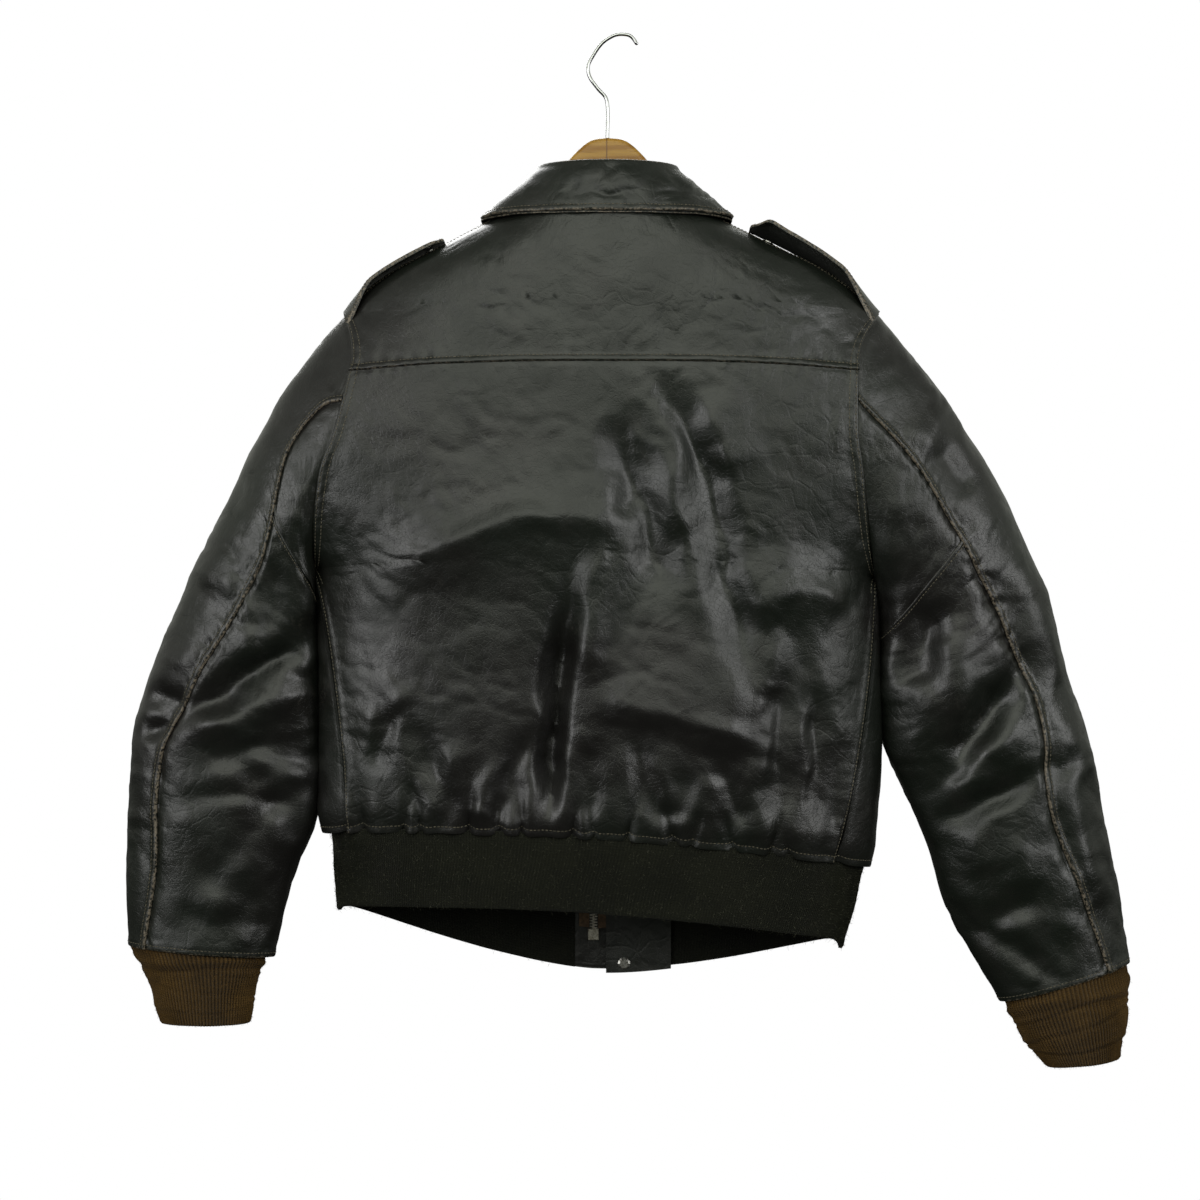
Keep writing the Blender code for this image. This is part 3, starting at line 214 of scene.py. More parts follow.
def body_normal(w, level):
    w, level = np.broadcast_arrays(np.asarray(w, float), np.asarray(level, float))
    point = body_base(w, level)
    outward = point * [0.1, 1, 0] + [0, 0, 0.001]
    outward[..., 0] += np.where(np.abs(point[..., 1]) < 8, np.sign(w) * 20, 0)
    inner_level = np.clip(level, HEM + 0.5, NECK - 0.5)
    normal = normal_of(body_base, w, inner_level, 0.004, 0.5, outward)
    back = np.cos(np.pi * w / 2) > 0
    end = np.where(back, side_w(level, True), side_w(level, False))
    near = 1 - ease(np.abs(end - np.abs(w)) / 0.06)
    near = np.where((level < TIP + 0.1) & (level > UNDERARM - 0.1), near, 0)[..., None]
    return unit(mix(normal, armhole_normal(level, back), near))


# Folds: depth below the surface (a ridge is negative), half width, and the line's (x, z) points
BACK_FOLDS = [
    (11, 15, [(27, -425), (31, -474), (38, -550), (43, -626), (48, -690)]),
    (-4, 12, [(6, -470), (12, -540), (18, -620), (22, -680)]),
    (8.5, 15, [(-34, -292), (-63, -342), (-78, -371), (-91, -413), (-88, -440), (-104, -500),
               (-127, -584), (-134, -602)]),
    (4.5, 14, [(-10, -357), (-10, -376), (-34, -421), (-42, -448), (-29, -474), (-20, -514)]),
    (-7.5, 26, [(190, -480), (127, -449), (93, -436), (54, -423), (10, -428), (-20, -442)]),
    (-7, 15, [(-134, -537), (-151, -584), (-145, -620), (-149, -676)]),
    (9, 15, [(-150, -505), (-166, -546), (-178, -593), (-169, -684)]),
    (-4.5, 13, [(10, -586), (-46, -600), (-134, -618)]),
    (4, 13, [(-18, -612), (-39, -660), (-20, -700)]),
    (4.5, 13, [(185, -642), (160, -672), (143, -700)]),
    (5, 13, [(68, -597), (90, -648), (95, -700)]),
    (3, 15, [(-43, -240), (-51, -267), (-63, -284)]),
]
FRONT_FOLDS = [
    (5, 18, [(130, -420), (120, -520), (126, -640), (122, -720)]),
    (5, 18, [(-128, -400), (-112, -500), (-120, -620), (-116, -730)]),
    (-5, 26, [(205, -500), (150, -540), (90, -560)]),
    (-5, 26, [(-205, -500), (-150, -545), (-85, -570)]),
    (3, 16, [(170, -640), (160, -700)]),
    (3, 16, [(-165, -640), (-155, -700)]),
]
GATHERS = 14
GATHER_DEPTH = 2.6
GATHER_HALF_WIDTH = 9.0
GATHER_LENGTH = 52.0
LEFT_SLEEVE_FOLDS = [
    (8, 15, [(366, -600), (325, -568), (297, -553), (279, -543), (262, -525)]),
    (5, 13, [(404, -578), (386, -584), (368, -588)]),
    (5, 13, [(412, -610), (395, -607), (375, -603)]),
    (-5, 14, [(362, -612), (310, -593), (262, -577)]),
    (5, 14, [(353, -640), (300, -619), (262, -622)]),
    (4, 14, [(372, -670), (318, -661), (268, -680)]),
    (-4, 14, [(340, -760), (314, -712), (282, -682)]),
    (3, 14, [(402, -690), (398, -740), (404, -780)]),
]
RIGHT_SLEEVE_FOLDS = [
    (-4, 18, [(-280, -310), (-300, -330)]),
    (6, 18, [(-262, -490), (-275, -520), (-268, -556)]),
    (-7, 24, [(-290, -530), (-305, -566), (-300, -600)]),
    (8, 15, [(-357, -552), (-336, -592), (-304, -643), (-290, -656)]),
    (5, 13, [(-304, -684), (-340, -668), (-368, -650)]),
    (5, 13, [(-293, -757), (-326, -784), (-360, -806), (-398, -832)]),
    (4, 12, [(-326, -786), (-350, -770), (-374, -760)]),
    (-4, 16, [(-402, -640), (-412, -700), (-420, -740)]),
]


def along_line(x, z, line):
    """For each point: its distance from a bent line, its place along the line from 0 to 1, and a number
    that is positive on the left of the line as it is walked, seen from behind."""
    points = np.array(line, float)
    steps = np.linalg.norm(np.diff(points, axis=0), axis=1)
    length = steps.sum()
    begun = 0.0
    nearest = np.full_like(x, 1e9)
    place = np.zeros_like(x)
    side = np.ones_like(x)
    for (ax, az), (bx, bz), step in zip(points[:-1], points[1:], steps):
        t = np.clip(((x - ax) * (bx - ax) + (z - az) * (bz - az)) / step ** 2, 0, 1)
        px, pz = x - ax - t * (bx - ax), z - az - t * (bz - az)
        away = np.hypot(px, pz)
        closer = away < nearest
        nearest = np.where(closer, away, nearest)
        place = np.where(closer, (begun + t * step) / length, place)
        side = np.where(closer, px * (bz - az) - pz * (bx - ax), side)
        begun += step
    return nearest, place, side


def fold_lift(x, z, folds):
    """How far the folds move a surface outwards at (x, z)."""
    lift = np.zeros_like(x)
    for depth, half_width, line in folds:
        nearest, place, _ = along_line(x, z, line)
        bell = np.exp(-(nearest / half_width) ** 2 * 1.6)
        lift -= depth * bell * (0.35 + 0.65 * np.sin(np.pi * np.clip(place, 0, 1)) ** 0.7)
    return lift


def gather_lift(x, z, hem):
    """The gathers above the waistband, which fade upwards."""
    height = np.clip((z - hem) / GATHER_LENGTH, 0, 1)
    lift = np.zeros_like(x)
    for i in range(GATHERS):
        middle = 212 - 30.5 * i + 6 * math.sin(2.3 * i)
        lean = 10 * math.sin(1.7 * i + 0.6)
        bell = np.exp(-((x - middle - lean * height) / GATHER_HALF_WIDTH) ** 2)
        lift -= GATHER_DEPTH * (1 + 0.35 * math.sin(3.1 * i)) * bell
    return lift * (1 - ease(height))


def body_lift(w, level):
    """The folds' shift along the body's normal, soft towards armholes, ridge and zip."""
    point = body_base(w, level)
    x, z = point[..., 0], point[..., 2]
    back = np.cos(np.pi * w / 2) > 0
    lift = np.where(back, 0.3 * fold_lift(x, z, BACK_FOLDS), fold_lift(x, z + 50, FRONT_FOLDS))
    hem = HEM + 0.06 * x + np.where(back, 8, -40)
    lift = lift * ease((level - HEM + 6) / 34) + gather_lift(x, z, hem)
    end = np.where(back, side_w(level, True), side_w(level, False))
    armhole = (level < TIP + 20) & (level > UNDERARM - 10)
    lift = lift * np.where(armhole, ease(np.abs(end - np.abs(w)) / 0.12), 1)
    lift = lift * np.where(back, 1, ease((np.abs(x - ZIP_LINE(level)) - 20) / 25))
    return lift * ease((NECK - level) / 20) * ease(np.abs(np.abs(w) - 1) / 0.15)


def body(w, level, out=0.0):
    """A point of the body's outer face, moved out by a distance along its normal."""
    w, level = np.broadcast_arrays(np.asarray(w, float), np.asarray(level, float))
    return body_base(w, level) + body_normal(w, level) * (body_lift(w, level) + out)[..., None]


def band(w, level, out=0.0):
    """A point of the waistband's outer face."""
    w, level = np.broadcast_arrays(np.asarray(w, float), np.asarray(level, float))

    def face(w, level):
        form = BAND(level)
        back = np.cos(np.pi * w / 2) > 0
        across = np.sin(np.pi * np.abs(w) / 2)
        share = np.clip(1 - np.abs(across) ** form[..., 5], 0, 1)
        middle = (form[..., 0] + form[..., 1]) / 2
        half = (form[..., 0] - form[..., 1]) / 2
        x = middle + np.sign(w) * half * across
        y = np.where(back, form[..., 2], -form[..., 3]) * np.sqrt(share)
        rise = np.where(back, BAND_RISE, -BAND_DROP)
        z = level + form[..., 4] * x + rise * (1 - np.abs(across) ** np.where(back, 2, 1.6))
        corner = np.clip(1 - np.abs(np.abs(w) - 1) / DROOP_REACH, 0, 1) ** 2
        lower = ease((HEM - level) / (HEM - BAND_END))
        z = z - np.where(w > 0, LEFT_DROOP, RIGHT_DROOP) * corner * lower
        return np.stack([x, y, z], -1)

    point = face(w, level)
    outward = point * [0.1, 1, 0]
    outward[..., 0] += np.where(np.abs(point[..., 1]) < 8, np.sign(w) * 20, 0)
    inner_level = np.clip(level, BAND_END + 0.5, HEM - 1)
    out = np.asarray(out, float)[..., None]
    return point + normal_of(face, w, inner_level, 0.004, 0.5, outward) * out


def band_w(x, level, side):
    """The w of a front point of the waistband."""
    form = BAND(level)
    middle = (form[..., 0] + form[..., 1]) / 2
    half = (form[..., 0] - form[..., 1]) / 2
    return side * (2 - 2 / np.pi * np.arcsin(np.clip(side * (x - middle) / half, -1, 1)))


# Sleeves, as (share of the length, outer x, outer z, inner x, inner z, half depth, y, seam share)
# The seam share is where the elbow seam lies between outer and inner edge, seen from behind.
LEFT_SLEEVE = profile(
    (0.00, 231, -246, 257, -473, 52, 0, 0.3706), (0.10, 260, -279, 258, -486, 50, 0, 0.27),
    (0.20, 288, -318, 257.4, -498, 48, 0, 0.27), (0.30, 313, -362, 256.5, -511, 46, -1, 0.41),
    (0.40, 334, -406, 255.5, -528, 45, -2, 0.45), (0.50, 356, -451, 254.9, -549, 44, -3, 0.42),
    (0.58, 374, -488, 254.6, -570, 43, -4, 0.38), (0.66, 394, -535, 254.4, -595, 42, -5, 0.31),
    (0.73, 409, -576, 254.2, -623, 41, -6, 0.26), (0.79, 420, -615, 254.2, -651, 40, -7, 0.20),
    (0.86, 423, -672, 257, -688, 38, -8, 0.17), (0.93, 426, -734, 278, -743, 36, -10, 0.20),
    (1.00, 424, -801, 295, -811, 34, -12, 0.14))
RIGHT_SLEEVE = profile(
    (0.00, -238, -246, -234, -473, 52, 0, 0.3706), (0.10, -265, -278, -236.5, -485, 50, 0, 0.36),
    (0.20, -290, -311, -238, -497, 48, 0, 0.365), (0.30, -315, -347, -239.2, -510, 46, -1, 0.385),
    (0.40, -345, -396, -240.1, -528, 45, -2, 0.37), (0.50, -364, -437, -240.6, -549, 44, -3, 0.34),
    (0.58, -380, -473, -240.9, -570, 43, -4, 0.305), (0.66, -393, -509, -241.3, -595, 42, -5, 0.28),
    (0.73, -404, -560, -245, -623, 41, -6, 0.22), (0.79, -420, -603, -258, -651, 40, -7, 0.25),
    (0.86, -434, -664, -280, -706, 38, -8, 0.32), (0.93, -449, -743, -298, -766, 36, -10, 0.25),
    (1.00, -461, -816, -346, -851, 34, -12, 0.20))
# Cuffs, as (share, outer x, outer z, inner x, inner z, half depth, y)
LEFT_CUFF = profile(
    (0.0, 421, -801.6, 303, -811.6, 31, -12), (0.35, 409, -825, 309, -829, 29, -12.5),
    (0.6, 402, -845, 313, -847, 28, -13), (1.0, 396, -870, 317, -870, 26, -14))
RIGHT_CUFF = profile(
    (0.0, -457.8, -817.2, -351.3, -849.7, 31, -12), (0.35, -460, -846, -361, -872, 29, -12.5),
    (0.6, -459, -868, -372, -889, 28, -13), (1.0, -453, -901, -389, -909, 25, -14))
FRONT_SEAM = 255.0             # the hidden front seam of each sleeve, in degrees round the ring
SLEEVE_FADE = 0.32             # share of the sleeve over which its head takes up the armhole's shape


def ring(form, turn, share):
    """A point of a tube: turn is 0 at its outer edge, 90 at the back and 180 at its inner edge."""
    at = form(share)
    angle = np.radians(turn)
    outer = np.stack([at[..., 0], at[..., 5], at[..., 1]], -1)
    inner = np.stack([at[..., 2], at[..., 5], at[..., 3]], -1)
    across = (outer - inner) / 2
    point = (outer + inner) / 2 + across * np.cos(angle)[..., None]
    point[..., 1] += at[..., 4] * np.sin(angle)
    return point


def sleeve_base(form, side, turn, share):
    turn, share = np.broadcast_arrays(np.asarray(turn, float), np.asarray(share, float))
    level = (TIP + UNDERARM) / 2 + (TIP - UNDERARM) / 2 * np.cos(np.radians(turn))
    back = np.sin(np.radians(turn)) >= 0
    end = np.where(back, side_w(level, True), side_w(level, False))
    shift = body_base(side * end, level) - ring(form, turn, 0 * share)
    fade = (1 - ease(share / SLEEVE_FADE))[..., None]
    return ring(form, turn, share) + shift * fade


def sleeve(form, side, folds, turn, share, out=0.0):
    """A point of a sleeve's outer face."""
    turn, share = np.broadcast_arrays(np.asarray(turn, float), np.asarray(share, float))

    def face(turn, share):
        return sleeve_base(form, side, turn, share)

    point = face(turn, share)
    at = form(share)
    middle = np.stack([(at[..., 0] + at[..., 2]) / 2, at[..., 5], (at[..., 1] + at[..., 3]) / 2], -1)
    inner_share = np.clip(share, 0.003, 0.997)
    normal = normal_of(face, turn, inner_share, 1.0, 0.003, point - middle)
    level = (TIP + UNDERARM) / 2 + (TIP - UNDERARM) / 2 * np.cos(np.radians(turn))
    facing = np.sin(np.radians(turn))
    near = (1 - ease(share / 0.05))[..., None]
    normal = unit(mix(normal, armhole_normal(level, facing >= 0), near))
    lift = fold_lift(point[..., 0], point[..., 2], folds) * np.clip(facing, 0, 1) ** 0.6
    lift = lift + 0.7 * fold_lift(point[..., 0], point[..., 2] + 14, folds) * np.clip(-facing, 0, 1) ** 0.6
    lift = lift * ease(share / 0.12) * ease((1.02 - share) / 0.06)
    return point + normal * (lift + out)[..., None]


FLAP_INNER = -57.0             # the wind flap's sewn edge
FLAP_OUTER = 1.6               # its free edge
FLAP_DROP = 3.0                # how far it hangs below the waistband


def zip_place(x, level, depth):
    """A point beside the zip, a depth inside the outer face of fronts and hem tabs."""
    above = np.maximum(level, HEM)
    on_front = body(w_at(x, above, 1, False), above, -depth)
    low = np.clip(level, BAND_END, HEM - 2 * SEAM)
    on_band = band(band_w(x, low, 1), low, -depth)
    joined = np.concatenate([on_band[..., :2], on_front[..., 2:]], -1)
    joined = mix(joined, on_front, ease((level - HEM) / 16)[..., None])
    return np.where((level >= HEM)[..., None], joined, on_band)


CHAIN_END = -743.0             # level of the chain's lower end, above the retaining box
SLIDER_LEVEL = -166.0
TAPE_INNER = 3.95
TAPE_OUTER = 13.0
TAPE_THICK = 0.8
TAPE_DEPTH = LEATHER + CLEAR + 0.35
FLAP_DEPTH = 6.5               # of the wind flap's free part, behind the slider


STRAP_FRONT = -18.0            # the epaulette's front and back edges
STRAP_BACK = 24.0
STRAP_FLAT = 0.35              # share of its lift that the strap's front edge has too
# Height of each strap's back edge over the shoulder, as (share of its length, height)
LEFT_LIFT = profile((0, 0.5), (0.3, 2.2), (0.6, 2.6), (0.85, 3.2), (1, 2.2))
RIGHT_LIFT = profile((0, 1.2), (0.15, 7.5), (0.32, 9.5), (0.5, 11.8), (0.72, 14.5), (0.84, 15.5),
                     (0.92, 10.5), (1, 5))
# Sides, lifts and x of the free ends
STRAPS = (("left", 1, LEFT_LIFT, 143.0), ("right", -1, RIGHT_LIFT, -124.0))
SNAP_SHARE = 0.86              # share of the strap's length at which its snap sits
SNAP_Y = 3.0


def shoulder_z(x, y):
    """The height of the body's face near the ridge, found by halving."""
    high = np.full_like(x, NECK)
    low = np.full_like(x, TIP - 60.0)
    for _ in range(30):
        level = (high + low) / 2
        form = FORM(level)
        depth = np.where(y > 0, form[..., 0], form[..., 1])
        sides = outline(level)
        half = (sides[..., 0] - sides[..., 1]) / 2 / open_share(level, depth, form[..., 3])
        across = np.abs(x - (sides[..., 0] + sides[..., 1]) / 2) / half
        reach = depth * np.sqrt(np.clip(1 - across ** form[..., 3], 0, 1))
        inside = reach > np.abs(y)
        low = np.where(inside, level, low)
        high = np.where(inside, high, level)
    tilt = TILT(high)
    return high + np.where(y > 0, tilt[..., 0] * (1 - across ** 2), -tilt[..., 1] * (1 - across ** 1.6))


def strap_place(side, lift, free_x, share, y, out):
    """A point of an epaulette, a distance above its underside."""
    middle = (TIP + UNDERARM) / 2
    start = ARMHOLE(middle + (TIP - middle) * np.sqrt(1 - (y / ARMHOLE_DEPTH) ** 2))
    x = mix(start[..., 0 if side > 0 else 1] - side, free_x, share)
    ridge = shoulder_z(x, 0 * y)
    slope = (shoulder_z(x + 1, 0 * y) - shoulder_z(x - 1, 0 * y)) / 2
    normal = unit(np.stack([-slope, 0 * slope, 1 + 0 * slope], -1))
    across = (y - STRAP_FRONT) / (STRAP_BACK - STRAP_FRONT)
    raised = ridge + lift(share) * mix(STRAP_FLAT, 1, across)
    z = mix(shoulder_z(x, y), raised, ease(share / 0.25))
    return np.stack([x, y, z], -1) + normal * (CLEAR + 0.5 + out)[..., None]


COLLAR_END = 1.93              # w of the stand's front ends
POINT_END = 1.79               # w of the collar's points
ROLL_HALF = 3.6                # half the width of the fold at the collar's top
LEAF_LIFT = 5.6


def roll_line(w):
    """The fold along the collar's top."""
    across = np.sin(np.pi * w / 2)
    along = np.cos(np.pi * w / 2)
    y = along * np.where(along > 0, 46, 62)
    z = np.where(along > 0, -115.5, -115.5 - 84 * (1 - np.abs(across) ** 1.6))
    return np.stack([0.5 + 61.5 * across, y, z], -1)


def collar_line(share, key):
    """A point of the collar's face: key runs from 0 at the stand's foot to 1 at the leaf's edge."""
    w = share * COLLAR_END
    foot = body_base(w, NECK)
    fold = roll_line(w)
    edge_w = share * POINT_END
    edge_level = -165.5 - 38 * np.clip((np.abs(edge_w) - 1) / (POINT_END - 1), 0, 1) ** 2.4
    edge = body_base(edge_w, edge_level) + body_normal(edge_w, edge_level) * LEAF_LIFT
    edge = edge * [1.03, 1, 1]
    away = unit(foot * [1, 1, 0])
    up = np.array([0, 0, 1.0])
    foot = foot - away * (COLLAR + 0.4) + up * CLEAR
    inside = fold - away * ROLL_HALF - up * 5
    outside = fold + away * ROLL_HALF - up * 5
    keys = np.array([0, 0.24, 0.42, 0.48, 0.54, 0.76, 1])
    points = np.stack([foot, mix(foot, inside, 0.55) - away * 0.6, inside, fold, outside,
                       mix(outside, edge, 0.5) + away * 2, edge])
    rises = np.diff(points, axis=0) / np.diff(keys).reshape(-1, *[1] * (points.ndim - 1))
    middle = (points[2:] - points[:-2]) / (keys[2:] - keys[:-2]).reshape(-1, *[1] * (points.ndim - 1))
    slopes = np.concatenate([rises[:1], middle, rises[-1:]])
    key = np.clip(key + 0 * share, 0, 1)
    i = np.clip(np.searchsorted(keys, key, side="right") - 1, 0, len(keys) - 2)
    step = (keys[i + 1] - keys[i])[..., None]
    t = (key - keys[i])[..., None] / step

    def pick(table, row):
        return np.take_along_axis(table, row[None, ..., None], axis=0)[0]

    return (
        (1 + 2 * t) * (1 - t) ** 2 * pick(points, i)
        + t * (1 - t) ** 2 * step * pick(slopes, i)
        + t ** 2 * (3 - 2 * t) * pick(points, i + 1)
        + t ** 2 * (t - 1) * step * pick(slopes, i + 1)
    )


# The hanger
WOOD_HALF = 8.0                # half its thickness
WOOD_REACH = 206.0             # from its middle to each end
HOOK_WIRE = 1.6                # radius of the hook's wire
WOOD_NECK = profile((0, -90), (16, -93), (32, -107), (43, -122), (53, -137), (64, -151), (77, -156))
WOOD_UNDER = profile((0, -140), (45, -150), (80, -178), (140, -208), (WOOD_REACH, -243))
HOOK_LINE = profile((0, 0.5, -89.65), (1, 1, -57), (1.6, 9, -46), (2.1, 16, -36), (2.5, 17.5, -27),
                    (2.9, 14.5, -19.5), (3.5, 5.5, -6.5), (3.9, -4, 0), (4.3, -12, 1.7), (4.7, -20, 0),
                    (5.2, -26, -7.5))


def wood_top(x, side):
    """The hanger's upper edge: just under the shoulders, and rising to the neck's dome."""
    levels = np.linspace(TIP, NECK, 60)
    sides = outline(levels)
    reach = np.abs(sides[:, 0 if side > 0 else 1])
    under_ridge = np.interp(x, reach[::-1], levels[::-1]) - LEATHER - 2.4
    return np.where(x > 77, np.minimum(under_ridge, -156), WOOD_NECK(x))


# Large folds of the seen back: height, the reach of the slope on the left and on the right of the line as
# it is walked, seen from behind, and the line's (x, z) points. A trough's height is negative.
BACK_RELIEF = [
    (8, 73, 62, [(217, -479), (183, -467), (149, -454), (105, -438), (66, -429), (27, -429),
                (-13, -438), (-27, -451)]),
    (2.6, 13, 14, [(204, -470), (149, -450), (105, -433), (66, -424), (27, -424), (-13, -434)]),
    (-15, 10, 14, [(27, -469), (36, -518), (44, -557), (47, -606), (49, -646), (51, -694)]),
    (-5, 12, 38, [(27, -469), (36, -518), (44, -557), (47, -606), (49, -646), (51, -694)]),
    (5, 29, 21, [(-9, -435), (2, -460), (17, -494), (21, -538), (14, -573)]),
    (7, 83, 21, [(14, -573), (-27, -587), (-66, -598), (-105, -609), (-134, -617)]),
    (-9, 30, 24, [(-28, -325), (-12, -362), (-20, -396), (-33, -435), (-43, -469), (-30, -506)]),
    (4, 20, 18, [(-37, -315), (-59, -367), (-53, -406), (-67, -450)]),
    (-8, 19, 30, [(-35, -301), (-53, -323), (-74, -357), (-88, -396), (-97, -435), (-106, -484),
                (-119, -528), (-130, -575)]),
    (4, 34, 13, [(-80, -315), (-98, -357), (-104, -394)]),
    (7, 39, 34, [(-121, -526), (-132, -501), (-159, -485), (-186, -491), (-209, -510)]),
    (-9, 20, 21, [(-147, -538), (-153, -572), (-146, -611), (-149, -650), (-145, -694)]),
    (4, 17, 15, [(-132, -577), (-140, -616), (-136, -665)]),
    (-6, 18, 15, [(60, -594), (78, -636), (96, -694)]),
    (-4, 13, 13, [(11, -611), (18, -650), (13, -690)]),
    (-5, 15, 13, [(-17, -609), (-35, -655), (-54, -697)]),
    (-3.5, 13, 12, [(-66, -636), (-58, -690)]),
    (-4, 14, 13, [(-91, -624), (-105, -660), (-119, -698)]),
    (-3, 12, 13, [(198, -567), (190, -606), (204, -650)]),
    (-4.5, 14, 15, [(173, -587), (153, -636), (127, -694)]),
    (3, 13, 12, [(125, -611), (141, -655), (151, -690)]),
    (3.5, 15, 11, [(83, -624), (105, -660), (116, -693)]),
    (-5, 15, 14, [(-178, -567), (-185, -626), (-178, -697)]),
    (-3, 11, 11, [(-201, -611), (-196, -665), (-199, -699)]),
    (2.5, 20, 13, [(222, -616), (193, -592), (169, -567)]),
    (2.2, 15, 13, [(-27, -616), (-42, -660), (-66, -680)]),
    (2.2, 15, 13, [(-76, -694), (-84, -665), (-96, -646)]),
]
# The same of the sleeves' seen sides
LEFT_RELIEF = [
    (-9, 22, 17, [(367, -593), (346, -583), (317, -567), (295, -556), (273, -543), (250, -524)]),
    (-5, 11, 14, [(360, -598), (334, -587), (317, -573)]),
    (5, 17, 20, [(378, -611), (362, -604), (346, -603), (317, -608), (298, -615)]),
    (-4, 17, 17, [(403, -576), (385, -583), (367, -588)]),
    (-4, 14, 20, [(410, -612), (393, -609), (375, -604)]),
    (-3, 11, 11, [(354, -616), (337, -635), (317, -644), (294, -660)]),
    (-3, 11, 11, [(327, -623), (309, -644), (292, -659)]),
    (-3.5, 13, 13, [(317, -608), (292, -632), (270, -640), (247, -633)]),
    (3, 11, 17, [(289, -647), (270, -650), (247, -644)]),
    (-4, 20, 14, [(247, -637), (273, -663), (295, -684), (320, -713), (337, -728), (364, -748)]),
    (3, 17, 17, [(250, -654), (273, -679), (284, -699), (289, -727)]),
    (-3.5, 14, 11, [(292, -663), (281, -685), (276, -707)]),
    (-5, 20, 17, [(285, -457), (295, -486), (289, -506), (303, -531)]),
    (4, 17, 17, [(273, -452), (264, -486), (256, -520)]),
    (4, 17, 14, [(309, -514), (313, -539), (298, -553)]),
    (3, 14, 17, [(277, -548), (264, -539), (250, -548)]),
    (-4, 14, 14, [(284, -559), (270, -567), (250, -564)]),
    (-3, 13, 17, [(396, -783), (365, -775), (337, -781), (306, -770)]),
    (-3.5, 14, 14, [(362, -728), (334, -744), (312, -752), (284, -744)]),
    (-3.5, 11, 14, [(317, -752), (310, -778), (295, -786)]),
    (3, 17, 17, [(309, -710), (303, -738), (306, -761)]),
    (-3, 17, 17, [(319, -374), (320, -399), (331, -424)]),
    (2.5, 22, 17, [(360, -464), (337, -480), (317, -486)]),
    (3, 17, 17, [(379, -567), (371, -548), (351, -531)]),
    (-2.5, 14, 14, [(388, -621), (390, -671), (396, -713)]),
]
RIGHT_RELIEF = [
    (-6, 18, 24, [(-281, -350), (-301, -386), (-325, -400)]),
    (4, 18, 18, [(-292, -325), (-276, -353), (-285, -377)]),
    (-6, 21, 15, [(-313, -457), (-334, -487), (-350, -530), (-371, -564), (-387, -588)]),
    (5, 18, 24, [(-353, -445), (-376, -493), (-385, -542), (-395, -582)]),
    (-10, 34, 27, [(-272, -493), (-281, -518), (-278, -548), (-261, -573)]),
    (7, 34, 37, [(-305, -481), (-298, -530), (-276, -582), (-266, -628), (-292, -669)]),
    (-9, 24, 21, [(-355, -558), (-334, -587), (-310, -614), (-301, -637)]),
    (6, 18, 18, [(-371, -626), (-347, -617), (-324, -634), (-313, -658), (-298, -675)]),
    (-6, 15, 18, [(-371, -640), (-347, -663), (-307, -683), (-280, -683)]),
    (4, 18, 18, [(-313, -690), (-322, -710), (-334, -738)]),
    (3.5, 15, 18, [(-353, -692), (-359, -719), (-370, -750)]),
    (-4, 15, 15, [(-322, -782), (-347, -765), (-374, -750)]),
    (-5, 15, 18, [(-290, -756), (-313, -787), (-347, -800), (-371, -814), (-393, -834)]),
    (3, 12, 15, [(-319, -778), (-353, -807), (-389, -828)]),
    (-5, 15, 18, [(-421, -632), (-398, -643), (-371, -640)]),
    (4, 18, 18, [(-402, -591), (-408, -622), (-420, -658)]),
    (3, 18, 18, [(-411, -695), (-420, -732), (-435, -774)]),
    (-3, 15, 15, [(-383, -664), (-395, -704), (-414, -741)]),
    (-4, 18, 18, [(-237, -469), (-241, -493), (-234, -530)]),
    (3, 18, 18, [(-252, -399), (-243, -435), (-246, -469)]),
    (-3, 15, 18, [(-371, -774), (-389, -799), (-414, -805)]),
    (-3, 15, 15, [(-279, -399), (-301, -426), (-322, -441)]),
    (4, 21, 21, [(-246, -530), (-249, -561), (-240, -591)]),
]

# Finer folds and creases of the seen side: depth, half width and the line's (x, z) points. A sharp crease
# falls off quickly from its line, and has a soft roll beside it.
BACK_CREASES = [
    (2.2, 6, [(-36, -300), (-52, -330), (-66, -352), (-80, -392)]),
    (2.0, 5, [(-96, -426), (-92, -462), (-108, -500), (-118, -545)]),
    (1.6, 5, [(-12, -352), (-14, -384), (-34, -416), (-44, -452)]),
    (1.5, 6, [(-32, -474), (-18, -516), (-14, -560)]),
    (2.0, 6, [(-166, -494), (-142, -520), (-128, -560)]),
    (2.2, 6, [(-168, -545), (-182, -596), (-176, -660), (-168, -700)]),
    (1.4, 6, [(6, -588), (-42, -602), (-84, -612), (-130, -622)]),
    (1.2, 5, [(182, -648), (160, -676), (146, -698)]),
    (1.2, 5, [(66, -602), (88, -650), (94, -696)]),
    (1.0, 5, [(104, -656), (120, -680), (132, -700)]),
    (1.2, 5, [(-20, -616), (-44, -664), (-22, -702)]),
    (1.0, 4, [(104, -544), (106, -572), (70, -574)]),
    (0.8, 4, [(28, -434), (52, -476), (64, -540)]),
    (0.8, 5, [(196, -420), (150, -404), (110, -396)]),
    (0.9, 5, [(-44, -244), (-54, -268), (-66, -282)]),
    (0.7, 4, [(-104, -262), (-120, -280), (-150, -288)]),
    (0.7, 4, [(-88, -200), (-104, -214), (-122, -222)]),
    (0.7, 4, [(40, -196), (66, -208), (96, -206)]),
    (0.6, 4, [(120, -226), (160, -240), (196, -262)]),
    (0.7, 4, [(-10, -262), (22, -270), (60, -268)]),
    (0.8, 5, [(-186, -420), (-196, -470), (-192, -520)]),
    (0.9, 5, [(-200, -560), (-206, -610), (-200, -660)]),
    (0.8, 5, [(216, -520), (206, -560), (210, -620)]),
]
